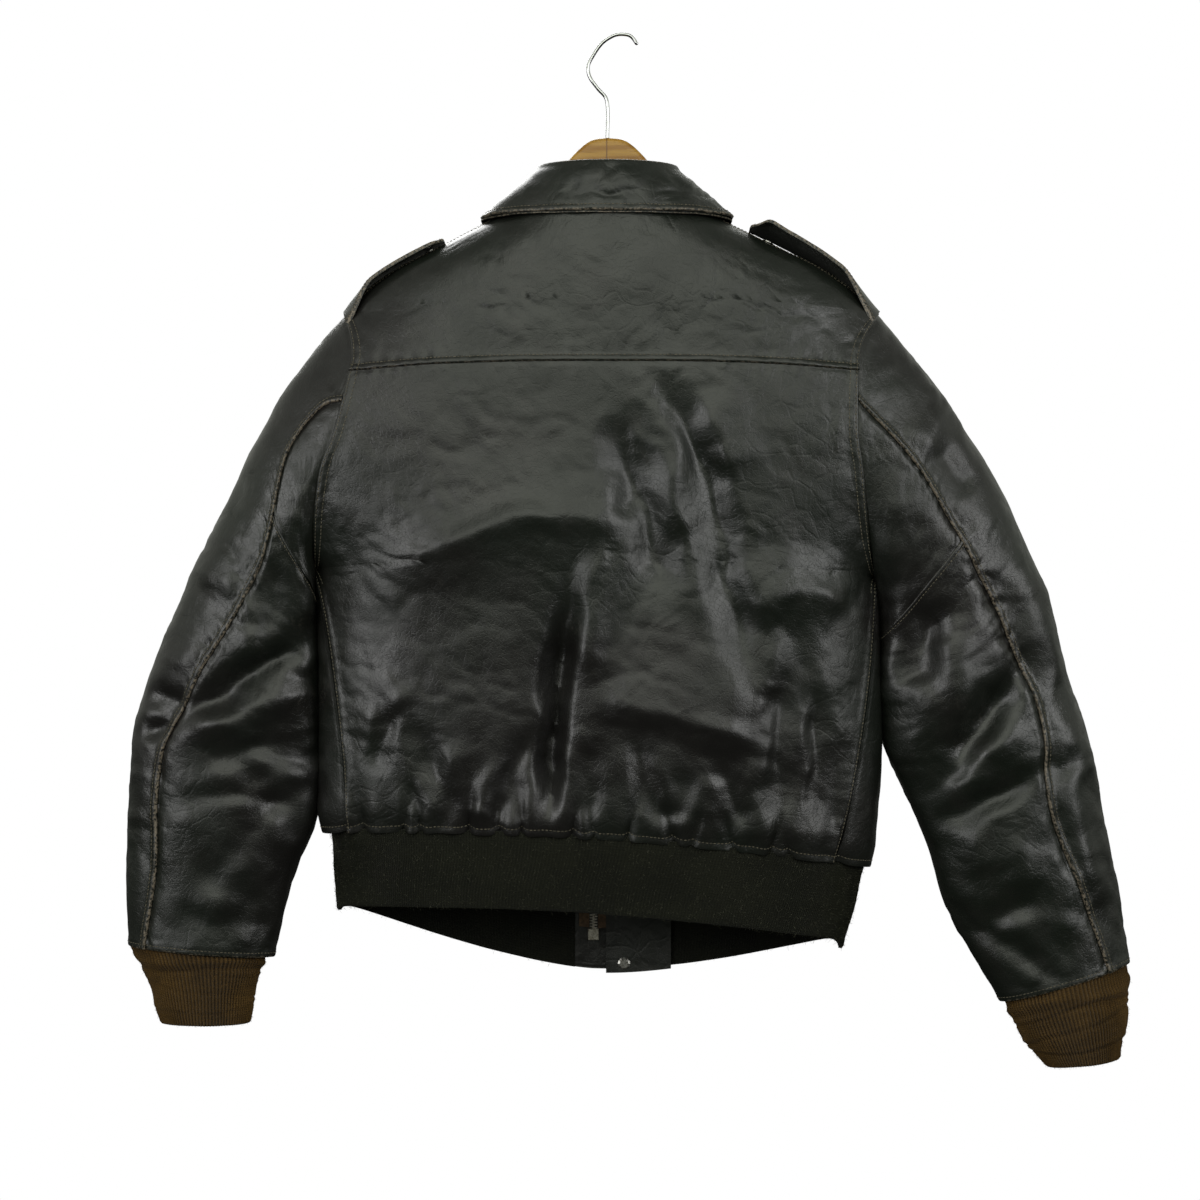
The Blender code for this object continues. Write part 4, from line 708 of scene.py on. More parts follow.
LEFT_CREASES = [
    (4.0, 7, [(372, -603), (344, -580), (312, -556), (286, -546), (262, -528)]),
    (2.4, 6, [(410, -583), (392, -590), (370, -594)]),
    (2.4, 6, [(418, -614), (398, -612), (376, -606)]),
    (2.0, 6, [(352, -648), (318, -630), (286, -622), (262, -626)]),
    (2.0, 6, [(372, -676), (336, -664), (300, -668), (268, -684)]),
    (1.8, 6, [(340, -762), (322, -726), (300, -694)]),
    (1.6, 6, [(286, -760), (310, -730), (336, -706)]),
    (1.6, 6, [(398, -640), (394, -690), (402, -740)]),
    (1.4, 5, [(268, -560), (300, -576), (330, -600)]),
    (1.4, 5, [(270, -600), (304, -606), (340, -626)]),
    (1.2, 5, [(300, -520), (290, -548), (268, -566)]),
    (1.2, 5, [(352, -520), (340, -548), (318, -574)]),
    (1.1, 5, [(386, -520), (376, -552), (360, -570)]),
    (1.2, 5, [(290, -646), (310, -682), (352, -694)]),
    (1.2, 5, [(344, -720), (366, -760), (360, -796)]),
    (1.0, 5, [(312, -782), (336, -772), (360, -776)]),
    (1.0, 5, [(278, -440), (270, -470), (266, -500)]),
    (1.0, 5, [(330, -440), (322, -470), (300, -500)]),
]
RIGHT_CREASES = [
    (2.6, 7, [(-258, -486), (-272, -516), (-276, -548)]),
    (4.0, 8, [(-362, -556), (-340, -594), (-312, -634), (-296, -660)]),
    (2.2, 6, [(-300, -686), (-332, -674), (-366, -656)]),
    (2.6, 6, [(-292, -760), (-322, -784), (-358, -808), (-396, -836)]),
    (1.8, 6, [(-324, -788), (-348, -774), (-372, -762)]),
    (2.0, 6, [(-284, -560), (-290, -590), (-280, -620)]),
    (1.6, 6, [(-372, -560), (-384, -600), (-392, -640)]),
    (1.6, 6, [(-276, -640), (-298, -652), (-330, -644)]),
    (1.4, 6, [(-420, -640), (-424, -690), (-436, -740)]),
    (1.4, 5, [(-250, -540), (-262, -566), (-262, -600)]),
    (1.3, 5, [(-336, -700), (-350, -736), (-388, -760)]),
    (1.3, 5, [(-300, -720), (-322, -740), (-330, -772)]),
    (1.2, 5, [(-400, -700), (-406, -750), (-420, -800)]),
    (1.2, 5, [(-246, -430), (-262, -462), (-290, -480)]),
    (1.0, 5, [(-300, -450), (-322, -478), (-344, -512)]),
    (1.0, 5, [(-352, -820), (-380, -806), (-410, -808)]),
]
FRONT_CREASES = [
    (1.6, 7, [(130, -430), (122, -520), (126, -630)]),
    (1.6, 7, [(-126, -420), (-114, -510), (-122, -620)]),
    (1.2, 6, [(200, -500), (150, -540), (96, -556)]),
    (1.2, 6, [(-198, -506), (-150, -546), (-92, -566)]),
    (1.0, 6, [(60, -640), (80, -690), (84, -740)]),
    (1.0, 6, [(-56, -630), (-76, -690), (-80, -750)]),
    (0.9, 5, [(190, -300), (160, -340), (150, -390)]),
    (0.9, 5, [(-186, -310), (-158, -350), (-148, -400)]),
]


def crease_lift(x, z, creases):
    """Sharp creases, each with a soft roll above or beside it."""
    x = x + 2.6 * ripple(x, z, 95, 34.0)
    z = z + 2.6 * ripple(x, z, 96, 38.0)
    lift = np.zeros_like(x)
    for depth, half_width, line in creases:
        nearest, place, side = along_line(x, z, line)
        fade = np.sin(np.pi * np.clip(place, 0, 1)) ** 0.6
        cut = np.exp(-np.sqrt((nearest / half_width) ** 2 + 0.02) * 1.9)
        beside = np.where(side + 1e-9 > 0, 0.45, 0.2)
        roll = np.exp(-((nearest - 1.5 * half_width) / half_width) ** 2) * beside
        lift += depth * fade * (roll - cut)
    return lift


RIDGE_ROUND = 3.6              # how rounded the crest of a ridge and the bottom of a trough are
TROUGH_ROUND = 3.0
FADE_IN = 0.36                 # shares of a fold's line over which its height comes and goes
FADE_OUT = 0.24


def relief_lift(x, z, folds, seed):
    """Folds with a crest or a bottom line and a slope of its own length on each side."""
    x = x + 2.2 * ripple(x, z, seed, 50.0)
    z = z + 2.2 * ripple(x, z, seed + 1, 56.0)
    lift = np.zeros_like(x)
    for height, left, right, line in folds:
        nearest, place, side = along_line(x, z, line)
        round_off = RIDGE_ROUND if height > 0 else TROUGH_ROUND
        rounded = np.hypot(nearest, round_off) - round_off
        slope = np.clip(1 - rounded / np.where(side > 0, left, right), 0, 1) ** 1.35
        lift += height * slope * ease(place / FADE_IN) * ease((1 - place) / FADE_OUT)
    return lift


WAVES = 14                     # how many waves an uneven field is made of


def ripple(x, z, seed, size):
    """A smooth uneven field of about -1 to 1, made of waves in several directions."""
    rng = np.random.default_rng(seed)
    total = np.zeros_like(x)
    for _ in range(WAVES):
        angle = rng.uniform(0, np.pi)
        wave = size * rng.uniform(0.6, 1.8)
        bend = rng.uniform(0.3, 1.2)
        phase = rng.uniform(0, 2 * np.pi, 2)
        along = x * math.cos(angle) + z * math.sin(angle)
        side = -x * math.sin(angle) + z * math.cos(angle)
        sway = bend * np.sin(2 * np.pi * side / (wave * 1.9) + phase[0])
        total += np.sin(2 * np.pi * along / wave + sway + phase[1])
    return total / math.sqrt(WAVES)


def wrinkles(x, z, seed):
    """The leather's shallow unevenness and its fine sharp wrinkles."""
    broad = ripple(x, z, seed, 70.0)
    fine = ripple(x + 6 * broad, z, seed + 1, 22.0)
    tight = 1 - np.abs(ripple(x, z + 5 * broad, seed + 2, 30.0))
    facets = np.abs(ripple(x + 7 * fine, z - 6 * broad, seed + 3, 58.0))
    patch = 0.35 + 0.65 * ease(ripple(x, z, seed + 4, 120.0) + 0.5)
    creased = 0.95 * np.minimum(facets, 0.8) * patch
    return 0.3 * broad + 0.1 * fine - 0.34 * np.clip(tight, 0, 1) ** 3 * patch + creased - 0.4


# Meshes

ALL_THREADS = []               # panel, edge, inset, start, stop and pitch of every stitched row
# Distances of a grid's first points from its edge
NEAR_EDGE = np.array([0, 0.5, 1.1, 1.8, 2.6, 3.6, 4.6, 5.6, 6.8, 8.2])


def samples(length, step, fine=True):
    """0 to 1 in steps of about a length, closer together at the two ends."""
    near = NEAR_EDGE if fine else NEAR_EDGE[:1]
    reach = near[-1] + step if fine else step
    inner = np.linspace(reach, length - reach, max(2, round((length - 2 * reach) / step)))
    return np.concatenate([near, inner, length - near[::-1]]) / length


class Panel:
    """A grid of points on a cloth piece's outer face, with the way out at each point."""

    def __init__(self, place, u, v):
        self.points = place(u, v, np.zeros_like(u))
        self.out = unit(place(u, v, np.ones_like(u)) - self.points)
        self.lift = np.zeros_like(u)
        self.wear = np.zeros_like(u)
        steps_u = np.linalg.norm(np.diff(self.points, axis=0), axis=-1)
        steps_v = np.linalg.norm(np.diff(self.points, axis=1), axis=-1)
        self.along_u = np.concatenate([0 * u[:1], np.cumsum(steps_u, 0)], 0)
        self.along_v = np.concatenate([0 * u[:, :1], np.cumsum(steps_v, 1)], 1)
        self.width = float(self.along_u[-1].max())
        self.length = float(self.along_v[:, -1].max())
        rising = self.points[1:, 1:] - self.points[:-1, :-1]
        across = np.cross(rising, self.points[:-1, 1:] - self.points[1:, :-1])
        self.area = float(np.linalg.norm(across, axis=-1).sum() / 2)

    def distance(self, edge):
        """How far each point lies from an edge: u0, u1, v0 or v1."""
        run = self.along_u if edge[0] == "u" else self.along_v
        if edge[1] == "0":
            return run
        return (run[-1:] if edge[0] == "u" else run[:, -1:]) - run

    def over(self, edge, height=1.1, reach=9.0, wear=0.6, pucker=0.3, wave=11.0, seed=0):
        """An edge that laps over its neighbour: raised, rounded, puckered and worn."""
        away = self.distance(edge)
        run = self.along_v if edge[0] == "u" else self.along_u
        self.lift += height * (1 - ease((away - 2) / reach))
        self.lift -= 0.8 * height * (1 - np.clip(away / 1.3, 0, 1)) ** 2
        shake = np.sin(2 * np.pi * run / wave + 2.2 * np.sin(run / 37 + seed)) * np.sin(run / 53 + seed)
        self.lift += pucker * shake * np.exp(-((away - 6) / 7) ** 2)
        self.wear = np.maximum(self.wear, wear * np.exp(-away / 2.2))

    def under(self, edge, depth=0.4, reach=5.0, pucker=0.35, wave=11.0, seed=0):
        """An edge that goes beneath its neighbour."""
        away = self.distance(edge)
        run = self.along_v if edge[0] == "u" else self.along_u
        self.lift -= depth * (1 - ease(away / reach))
        shake = np.sin(2 * np.pi * run / wave + 2.2 * np.sin(run / 37 + seed)) * np.sin(run / 53 + seed)
        self.lift += pucker * shake * np.exp(-(away / 9) ** 2)

    def stitch(self, edge, inset, start=0.0, stop=1.0, pitch=3.4):
        """A row of stitches at a distance from an edge, in a shallow groove."""
        away = self.distance(edge)
        self.lift -= 0.18 * np.exp(-((away - inset) / 1.1) ** 2)
        ALL_THREADS.append((self, edge, inset, start, stop, pitch))

    def line(self, edge, inset):
        """Points and ways out along a line that keeps a distance from an edge."""
        away = self.distance(edge)
        points = self.points + self.out * self.lift[..., None]
        out = self.out
        if edge[0] == "u":
            away, points, out = away.T, points.transpose(1, 0, 2), out.transpose(1, 0, 2)
        if edge[1] == "1":
            away, points, out = away[:, ::-1], points[:, ::-1], out[:, ::-1]
        k = np.clip((away < inset).sum(1), 1, away.shape[1] - 1)
        rows = np.arange(len(away))
        t = ((inset - away[rows, k - 1]) / np.maximum(away[rows, k] - away[rows, k - 1], 1e-9))[:, None]
        t = np.clip(t, 0, 1)
        return mix(points[rows, k - 1], points[rows, k], t), unit(mix(out[rows, k - 1], out[rows, k], t))

    def mesh(self, name, node, surface, thickness, slot, held="hung", rests_on=(), closed=False,
             opened=1.0):
        outer = self.points + self.out * self.lift[..., None]
        inner = self.points + self.out * (np.minimum(self.lift, 1.0) - thickness)[..., None]
        made = wall(name, outer, inner, surface, closed)
        count = outer.shape[0] * outer.shape[1]
        wear = np.concatenate([self.wear.ravel(), 0.4 * self.wear.ravel()])
        run = np.stack([self.along_u, self.along_v, 0 * self.along_u], -1).reshape(count, 3)
        add_data(made, wear, np.concatenate([run, run]))
        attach(made, "root")
        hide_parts(node)
        return made


def add_data(made, wear, run):
    """Stores the wear, which on the knits is painted rib shade and light, and the run along the cloth, in
    metres, on each point of a mesh.
    """
    field = made.data.attributes.new("wear", "FLOAT", "POINT")
    field.data.foreach_set("value", wear.astype(np.float32))
    field = made.data.attributes.new("run", "FLOAT_VECTOR", "POINT")
    field.data.foreach_set("vector", (run * MM).astype(np.float32).ravel())


def wall(name, outer, inner, surface, closed=False):
    """A closed wall between two grids of points; a closed one runs round a tube."""
    across, along = outer.shape[:2]
    count = across * along
    points = np.concatenate([outer.reshape(-1, 3), inner.reshape(-1, 3)])
    index = np.arange(count).reshape(across, along)
    if closed:
        index = np.concatenate([index, index[:1]])
    a, b, c, d = index[:-1, :-1], index[1:, :-1], index[1:, 1:], index[:-1, 1:]
    top = np.stack([a, b, c, d], -1).reshape(-1, 4)
    faces = [top, top[:, ::-1] + count]
    for k, flip in ((0, False), (-1, True)):
        e, f = index[:-1, k], index[1:, k]
        rim = np.stack([e, e + count, f + count, f], -1)
        faces.append(rim[:, ::-1] if flip else rim)
    if not closed:
        for k, flip in ((0, True), (-1, False)):
            e, f = index[k, :-1], index[k, 1:]
            rim = np.stack([e, e + count, f + count, f], -1)
            faces.append(rim[:, ::-1] if flip else rim)
    return solid(name, points, np.concatenate(faces), surface)


def solid(name, points, faces, surface, smooth=60.0):
    """An object from points in millimetres and faces, with its faces pointing out."""
    data = bpy.data.meshes.new(name)
    placed = (np.asarray(points) - [HOOK_X, 0, 0]) * MM
    data.from_pydata(placed.tolist(), [], faces.tolist() if hasattr(faces, "tolist") else faces)
    mesh = bmesh.new()
    mesh.from_mesh(data)
    if mesh.calc_volume(signed=True) < 0:
        bmesh.ops.reverse_faces(mesh, faces=mesh.faces)
        mesh.to_mesh(data)
    mesh.free()
    data.materials.append(surface)
    data.shade_smooth()
    data.set_sharp_from_angle(angle=math.radians(smooth))
    made = bpy.data.objects.new(name, data)
    bpy.context.scene.collection.objects.link(made)
    return made


def stitches(name, rows, surface, radius=0.4):
    """One mesh of many thread stitches, laid end to end along lines."""
    points = []
    faces = []
    turns = np.radians([45, 135, 225, 315])
    for line, out, pitch in rows:
        steps = np.linalg.norm(np.diff(line, axis=0), axis=1)
        run = np.concatenate([[0], np.cumsum(steps)])
        count = int(run[-1] / pitch)
        if count < 2:
            continue
        middle = (np.arange(count) + 0.5) * run[-1] / count

        def at(s, field):
            return np.stack([np.interp(s, run, field[:, i]) for i in range(3)], -1)

        centre = at(middle, line)
        up = unit(at(middle, out))
        along = unit(at(middle + pitch * 0.4, line) - at(middle - pitch * 0.4, line))
        side = np.cross(along, up)
        half = 0.41 * pitch
        start = len(points)
        parts = [centre - along * half - up * 0.1]
        for share in (-0.55, 0.55):
            for turn in turns:
                ring_point = side * math.cos(turn) * radius + up * (math.sin(turn) * radius + 0.22)
                parts.append(centre + along * half * share + ring_point)
        parts.append(centre + along * half - up * 0.1)
        block = np.stack(parts, 1).reshape(-1, 3)
        points.extend(block)
        for n in range(count):
            o = start + 10 * n
            for i in range(4):
                j = (i + 1) % 4
                faces.append((o, o + 1 + j, o + 1 + i))
                faces.append((o + 1 + i, o + 1 + j, o + 5 + j, o + 5 + i))
                faces.append((o + 5 + i, o + 5 + j, o + 9))
    made = solid(name, np.array(points), faces, surface)
    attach(made, "root")
    return made


# Pieces

BACK_STEP = 3.2                # distances between the points of the back, sleeves and fronts
SIDE_STEP = 3.6
FRONT_STEP = 6.0
ARMHOLE_SHARE = 0.52           # share of a panel's length, from the hem, at which its armhole starts


def armhole_rows(count):
    """Levels from the armhole's lower to its upper end, closest together at both ends."""
    turn = np.linspace(np.pi, 0, count)
    return (TIP + UNDERARM) / 2 + (TIP - UNDERARM) / 2 * np.cos(turn)


YOKE_END = -302.75             # level of the yoke seam's two ends
YOKE_SEAM = profile((-1.0, YOKE_END), (-0.6, -302), (0, -303), (0.6, -302), (1.0, YOKE_END))


def body_patch(across, rows, side_evenness=0.6):
    """Maps u, 0 at the right edge and 1 at the left, to the back's w at given levels."""
    right = -side_w(rows, True)
    left = side_w(rows, True)
    seam = SIDE_SEAM(rows)
    below = rows < UNDERARM
    right = np.where(below, w_at(seam[..., 1], rows, -1), right)
    left = np.where(below, w_at(seam[..., 0], rows, 1), left)
    by_turn = mix(right, left, across)
    by_x = 2 / np.pi * np.arcsin(mix(np.sin(np.pi * right / 2), np.sin(np.pi * left / 2), across))
    return mix(by_turn, by_x, side_evenness)


def blouse(panel, height, pull):
    """The leather above the waistband bulges, and droops over the knit between its gathers."""
    free = 1 - np.clip(pull, 0, 1)
    panel.lift += 2.0 * (0.4 + 0.6 * free) * np.exp(-((height - 13) / 14) ** 2)
    panel.lift += (0.8 + 0.8 * free) * np.exp(-(height / 5) ** 2)
    panel.points[..., 2] -= (1.2 + 1.8 * free) * np.exp(-(height / 8) ** 2)


def make_back(leather):
    across = samples(470, BACK_STEP)
    side = mix(HEM, UNDERARM, samples(239, BACK_STEP)[:-6])
    hole = armhole_rows(90)
    top = mix(TIP, NECK, samples(98, BACK_STEP)[8:])
    below = [side[side < UNDERARM - 2], hole[hole < YOKE_END - 9], YOKE_END - NEAR_EDGE[::-1]]
    above = [YOKE_END + NEAR_EDGE, hole[hole > YOKE_END + 9], top]
    for name, rows, fixed in (("back_panel", below, UNDERARM), ("back_yoke", above, TIP)):
        u, v = np.meshgrid(across, np.concatenate(rows), indexing="ij")
        share = ease((v - fixed) / (YOKE_END - fixed))
        v = v + (YOKE_SEAM(2 * u - 1) - YOKE_END) * share
        panel = Panel(body, body_patch(u, v), v)
        x, z = panel.points[..., 0], panel.points[..., 2]
        soft = ease(panel.distance("u0") / 12) * ease(panel.distance("u1") / 12)
        large = relief_lift(x, z, BACK_RELIEF, 90) * (1 if name == "back_panel" else 0)
        large *= ease(panel.distance("v1") / 16) * ease((panel.distance("v0") + 6) / 20)
        panel.lift += (0.55 * crease_lift(x, z, BACK_CREASES) + wrinkles(x, z, 3) + large) * soft
        panel.over("u0", wear=0.35, seed=1)
        panel.over("u1", wear=0.35, seed=2)
        if name == "back_panel":
            panel.under("v1", seed=3)
            height = panel.distance("v0")
            pull = 0 * x
            for i in range(-1, 17):
                lean = 0.30 * math.sin(2.9 * i + 1)
                line = 212 - 29 * i - 8 * math.sin(2.3 * i) + lean * height
                tall = 40 + 36 * math.sin(1.7 * i) ** 2
                width = 2.8 + 1.2 * math.sin(3.1 * i) ** 2 + 0.06 * height
                groove = np.exp(-np.abs((x - line) / width) ** 1.5)
                panel.lift -= (2.8 + 1.6 * math.sin(4.1 * i) ** 2) * groove * (1 - ease(height / tall))
                pull = np.maximum(pull, groove)
            blouse(panel, height, pull)
            panel.stitch("v0", 5.0)
        else:
            panel.over("v0", height=1.5, reach=6.0, wear=0.5, pucker=0.45, wave=13.0, seed=4)
            panel.under("v1", seed=5)
            panel.stitch("v0", 5.6)
        panel.stitch("u0", 2.4)
        panel.stitch("u1", 2.4)
        begin = ARMHOLE_SHARE if name == "back_panel" else 0.0
        panel.stitch("u0", 8.2, begin)
        panel.stitch("u1", 8.2, begin)
        panel.mesh(f"{name}_leather", name, leather, LEATHER, "leather", rests_on=["hanger_wood"])


TOUCH = 1.9                    # how far sleeve and body each swell to meet beside the waist
SLEEVE_LENGTH = 640


def touching(z):
    """1 at the heights where the sleeves rest against the body."""
    return ease((-450 - z) / 25) * ease((z + 730) / 40)


def make_fronts(leather):
    for name, side in (("front_left", 1), ("front_right", -1)):
        rows = np.concatenate([mix(HEM, UNDERARM, samples(239, FRONT_STEP)[:-1]), armhole_rows(46),
                               mix(TIP, NECK, samples(98, FRONT_STEP)[1:])])
        u, v = np.meshgrid(samples(300, FRONT_STEP), rows, indexing="ij")
        seam = SIDE_SEAM(v)[..., 0 if side > 0 else 1]
        start = np.where(v < UNDERARM, np.abs(w_at(seam, v, side)), side_w(v, False))
        stop = np.abs(w_at(ZIP_LINE(v) + side * FRONT_GAP, v, side, False))
        panel = Panel(body, side * mix(start, stop, u), v)
        x, z = panel.points[..., 0], panel.points[..., 2]
        soft = ease(panel.distance("u0") / 12) * ease((panel.distance("u1") - 4) / 16)
        panel.lift += (crease_lift(x, z, FRONT_CREASES) + 0.8 * wrinkles(x, z, 11 + side)) * soft
        panel.lift += TOUCH * ease((panel.out[..., 0] * side - 0.4) / 0.4) * touching(z)
        panel.under("u0", depth=0.2, seed=6)
        panel.over("u1", height=0.5, pucker=0.15, wear=0.5, seed=7)
        height = panel.distance("v0")
        pull = sum(np.exp(-((x - 196 + 33 * i) / 5.0) ** 2) for i in range(0, 13))
        panel.lift -= 1.6 * pull * (1 - ease(height / 32)) * soft
        blouse(panel, height, np.maximum(pull, 1 - soft))
        panel.under("v1", seed=8)
        panel.stitch("v0", 5.0)
        panel.stitch("u1", 5.5)
        panel.stitch("u0", 2.4, ARMHOLE_SHARE)
        panel.mesh(f"{name}_leather", name, leather, LEATHER, "leather", rests_on=["hanger_wood"])


def make_sleeves(leather):
    for name, side, form, folds, creases, gusset in (
        ("left", 1, LEFT_SLEEVE, LEFT_SLEEVE_FOLDS, LEFT_CREASES, (0.30, 0.20)),
        ("right", -1, RIGHT_SLEEVE, RIGHT_SLEEVE_FOLDS, RIGHT_CREASES, (0.40, 0.40)),
    ):
        relief = LEFT_RELIEF if side > 0 else RIGHT_RELIEF

        def seam_turn(share):
            return np.degrees(np.arccos(np.clip(1 - 2 * form(share)[..., 6], -1, 1)))

        def place(turn, share, out):
            return sleeve(form, side, folds, turn, share, out)

        def dress(panel, seed):
            x, z = panel.points[..., 0], panel.points[..., 2]
            seen = panel.out[..., 1]
            near = 0.5 * crease_lift(x, z, creases) + 0.85 * relief_lift(x, z, relief, 92)
            far = 0.5 * crease_lift(x, z + 14, creases) + relief_lift(x, z + 14, relief, 94)
            panel.lift += near * ease(seen * 2) + 0.7 * far * ease(-seen * 2)
            panel.lift += 1.4 * wrinkles(x + 40 * seen, z, seed)
            panel.lift *= ease(panel.distance("v0") / 14)
            beside = np.clip((x - 235 * side) * side, 0, 100) < 70
            panel.lift += TOUCH * ease((-panel.out[..., 0] * side - 0.4) / 0.4) * touching(z) * beside

        u = samples(170, SIDE_STEP)
        split = mix(gusset[1], gusset[0], ease(u / 0.6))[:, None]
        head = samples(SLEEVE_LENGTH * 0.3, SIDE_STEP)
        rest = samples(SLEEVE_LENGTH * 0.7, SIDE_STEP)
        share = np.concatenate([split * head[None, :-8], mix(split, 1.0, rest[None, 8:])], 1)
        turn = mix(FRONT_SEAM - 360, seam_turn(share), u[:, None])
        panel = Panel(place, turn, share)
        dress(panel, 20 + side)
        panel.over("u1", height=1.7, reach=6.0, wear=1.0, pucker=0.5, wave=12.0, seed=9)
        panel.under("v0", seed=10)
        panel.over("v1", height=0.6, wear=0.6, seed=11)
        panel.stitch("u1", 5.0)
        panel.stitch("v1", 4.0)
        panel.mesh(f"sleeve_upper_{name}_leather", f"sleeve_upper_{name}", leather, LEATHER, "leather",
                   rests_on=[f"front_{name}"])
        split = mix(gusset[0], gusset[1], ease(u / 0.6))[:, None]
        for part, rows in (
            ("sleeve_gusset", split * head[None, :]), ("sleeve_under", mix(split, 1.0, rest[None, :]))
        ):
            turn = mix(seam_turn(rows), FRONT_SEAM, u[:, None])
            panel = Panel(place, turn, rows)
            dress(panel, 20 + side)
            panel.under("u0", depth=1.3, reach=6.0, pucker=0.45, seed=9)
            if part == "sleeve_gusset":
                panel.under("v0", seed=12)
                panel.under("v1", depth=0.3, seed=13)
            else:
                panel.over("v0", height=0.7, wear=0.35, seed=13)
                panel.over("v1", height=0.6, wear=0.6, seed=14)
                panel.stitch("v0", 4.0)
                panel.stitch("v1", 4.0)
            panel.mesh(f"{part}_{name}_leather", f"{part}_{name}", leather, LEATHER, "leather",
                       rests_on=[f"front_{name}"])


CUFF_RIBS = 92
CUFF_STEP = 1.57               # distance between a cuff's rows of points
CUFF_FOLD = {"left": 0.5, "right": 1.3}    # depth of each cuff's cross folds
CUFF_OPENED = 1.25             # how much wider the ribs lie when they are pulled flat
BAND_RIBS = 470
BAND_OPENED = 1.15
BAND_TALL = 68
BAND_FROM = -32.0              # x of the knit's ends, where the hem tabs begin
BAND_TO = 29.5
TABS_MEET = 2.5


def make_cuffs(knit):
    for name, form, fold in (("left", LEFT_CUFF, 0.12), ("right", RIGHT_CUFF, 0.16)):
        def place(turn, share, out):
            angle = np.radians(turn)
            at = form(share)
            width = np.stack([at[..., 0] - at[..., 2], 0 * share, at[..., 1] - at[..., 3]], -1) / 2
            away = unit(width) * np.cos(angle)[..., None]
            away = away + np.stack([0 * angle, np.sin(angle), 0 * angle], -1)
            return ring(form, turn, share) + unit(away) * out[..., None]

        count = CUFF_RIBS * 5
        u, v = np.meshgrid(np.arange(count) * 360.0 / count, samples(78, CUFF_STEP, False), indexing="ij")
        panel = Panel(place, u, v)
        turn = np.radians(u)
        x, z = panel.points[..., 0], panel.points[..., 2]
        wander = 0.35 * np.sin(7 * v + 3 * np.sin(2 * turn)) + 0.2 * np.sin(15 * v + 5 * turn)
        rib = np.cos(CUFF_RIBS * turn + wander)
        panel.lift += 0.85 * np.sign(rib) * np.abs(rib) ** 0.7
        panel.lift += 0.1 * np.cos(2 * np.pi * panel.along_v / 2.1 + 3.1 * np.sign(rib))
        panel.lift += 1.6 * np.exp(-((v - fold - 0.06 * np.sin(2 * turn)) / 0.05) ** 2)
        panel.lift -= 1.2 * np.exp(-((v - fold - 0.12 - 0.05 * np.sin(2 * turn)) / 0.04) ** 2)
        panel.lift += 0.8 * ripple(x, z, 40, 38.0)
        for line in (0.36, 0.52, 0.74):
            run = v - line - 0.07 * np.sin(turn + 9 * line) - 0.02 * np.sin(3 * turn + 20 * line)
            panel.lift -= CUFF_FOLD[name] * np.exp(-np.abs(run / 0.022) ** 1.4)
            panel.lift += 0.6 * CUFF_FOLD[name] * np.exp(-((run + 0.05) / 0.03) ** 2)
        panel.lift -= 1.0 * (1 - np.clip(panel.distance("v1") / 2.0, 0, 1)) ** 2
        # Painted shade and light: the rib valleys are coloured with the darker wool and the rib crests with
        # the lighter one.
        panel.wear = 0.5 + 0.5 * np.clip(rib, -1, 1)
        panel.mesh(f"cuff_{name}_knit", f"cuff_{name}", knit, KNIT, "cuff_knit",
                   rests_on=[f"sleeve_under_{name}"], closed=True, opened=CUFF_OPENED)


def make_waistband(knit, leather):
    rows = mix(HEM - 2 * SEAM, BAND_END, samples(BAND_TALL, 2.6, False))
    u, v = np.meshgrid(np.linspace(0, 1, BAND_RIBS * 3 + 1), rows, indexing="ij")
    start = band_w(np.array(BAND_FROM), v, -1)
    stop = band_w(np.array(BAND_TO), v, 1)
    panel = Panel(band, mix(start, stop, u), v)
    x, z = panel.points[..., 0], panel.points[..., 2]
    wander = 0.6 * ripple(x, z, 50, 60.0)
    rib = np.cos(2 * np.pi * BAND_RIBS * u + wander)
    panel.lift += 0.35 * np.sign(rib) * np.abs(rib) ** 0.7 + 0.9 * ripple(x, z, 51, 55.0)
    panel.lift += 0.1 * np.cos(2 * np.pi * panel.along_v / 2.4 + 3.1 * np.sign(rib))
    panel.lift += 1.1 * np.sin(np.pi * np.clip(panel.along_v / BAND_TALL, 0, 1)) ** 0.7
    panel.lift -= 1.2 * (1 - np.clip(panel.distance("v1") / 2.2, 0, 1)) ** 2
    # Painted shade and light: the rib valleys are coloured with the darker wool and the rib crests with the
    # lighter one.
    panel.wear = 0.5 + 0.5 * np.clip(rib, -1, 1)
    panel.mesh("waistband_knit", "waistband", knit, KNIT, "band_knit", rests_on=["back_panel"],
               opened=BAND_OPENED)
    for name, x_from, x_to in (("hem_tab_left", BAND_TO, TABS_MEET),
                               ("hem_tab_right", TABS_MEET, BAND_FROM)):
        rows = mix(HEM - 2 * SEAM, BAND_END, samples(BAND_TALL, 3))
        u, v = np.meshgrid(samples(30, 3), rows, indexing="ij")
        panel = Panel(band, band_w(mix(x_from, x_to, u), v, 1), v)
        panel.lift += 0.3 * wrinkles(panel.points[..., 0], panel.points[..., 2], 60)
        panel.over("v1", height=0.3, pucker=0.1, wear=0.7)
        panel.stitch("v1", 3.0)
        panel.stitch("u0", 3.0)
        panel.mesh(f"{name}_leather", name, leather, LEATHER, "leather", rests_on=["waistband"])


COLLAR = 2.0                   # thickness of the collar and of the under collar
UNDER_COLLAR = 1.1
LEAF_TALL = 62.0               # millimetres along the collar's leaf that one unit of its key stands for
# Creases of the collar: depth, half width and the line's (x, key) points
COLLAR_CREASES = [
    (2.4, 5, [(-30, 0.80), (10, 0.79), (34, 0.78)]),
    (2.0, 5, [(-96, 0.83), (-62, 0.80), (-34, 0.80)]),
    (1.4, 4, [(20, 0.64), (32, 0.74), (44, 0.80)]),
    (1.6, 5, [(4, 0.50), (2, 0.58), (4, 0.68)]),
    (1.0, 4, [(50, 0.66), (60, 0.74), (74, 0.78)]),
    (1.0, 4, [(-50, 0.62), (-60, 0.70), (-66, 0.80)]),
]


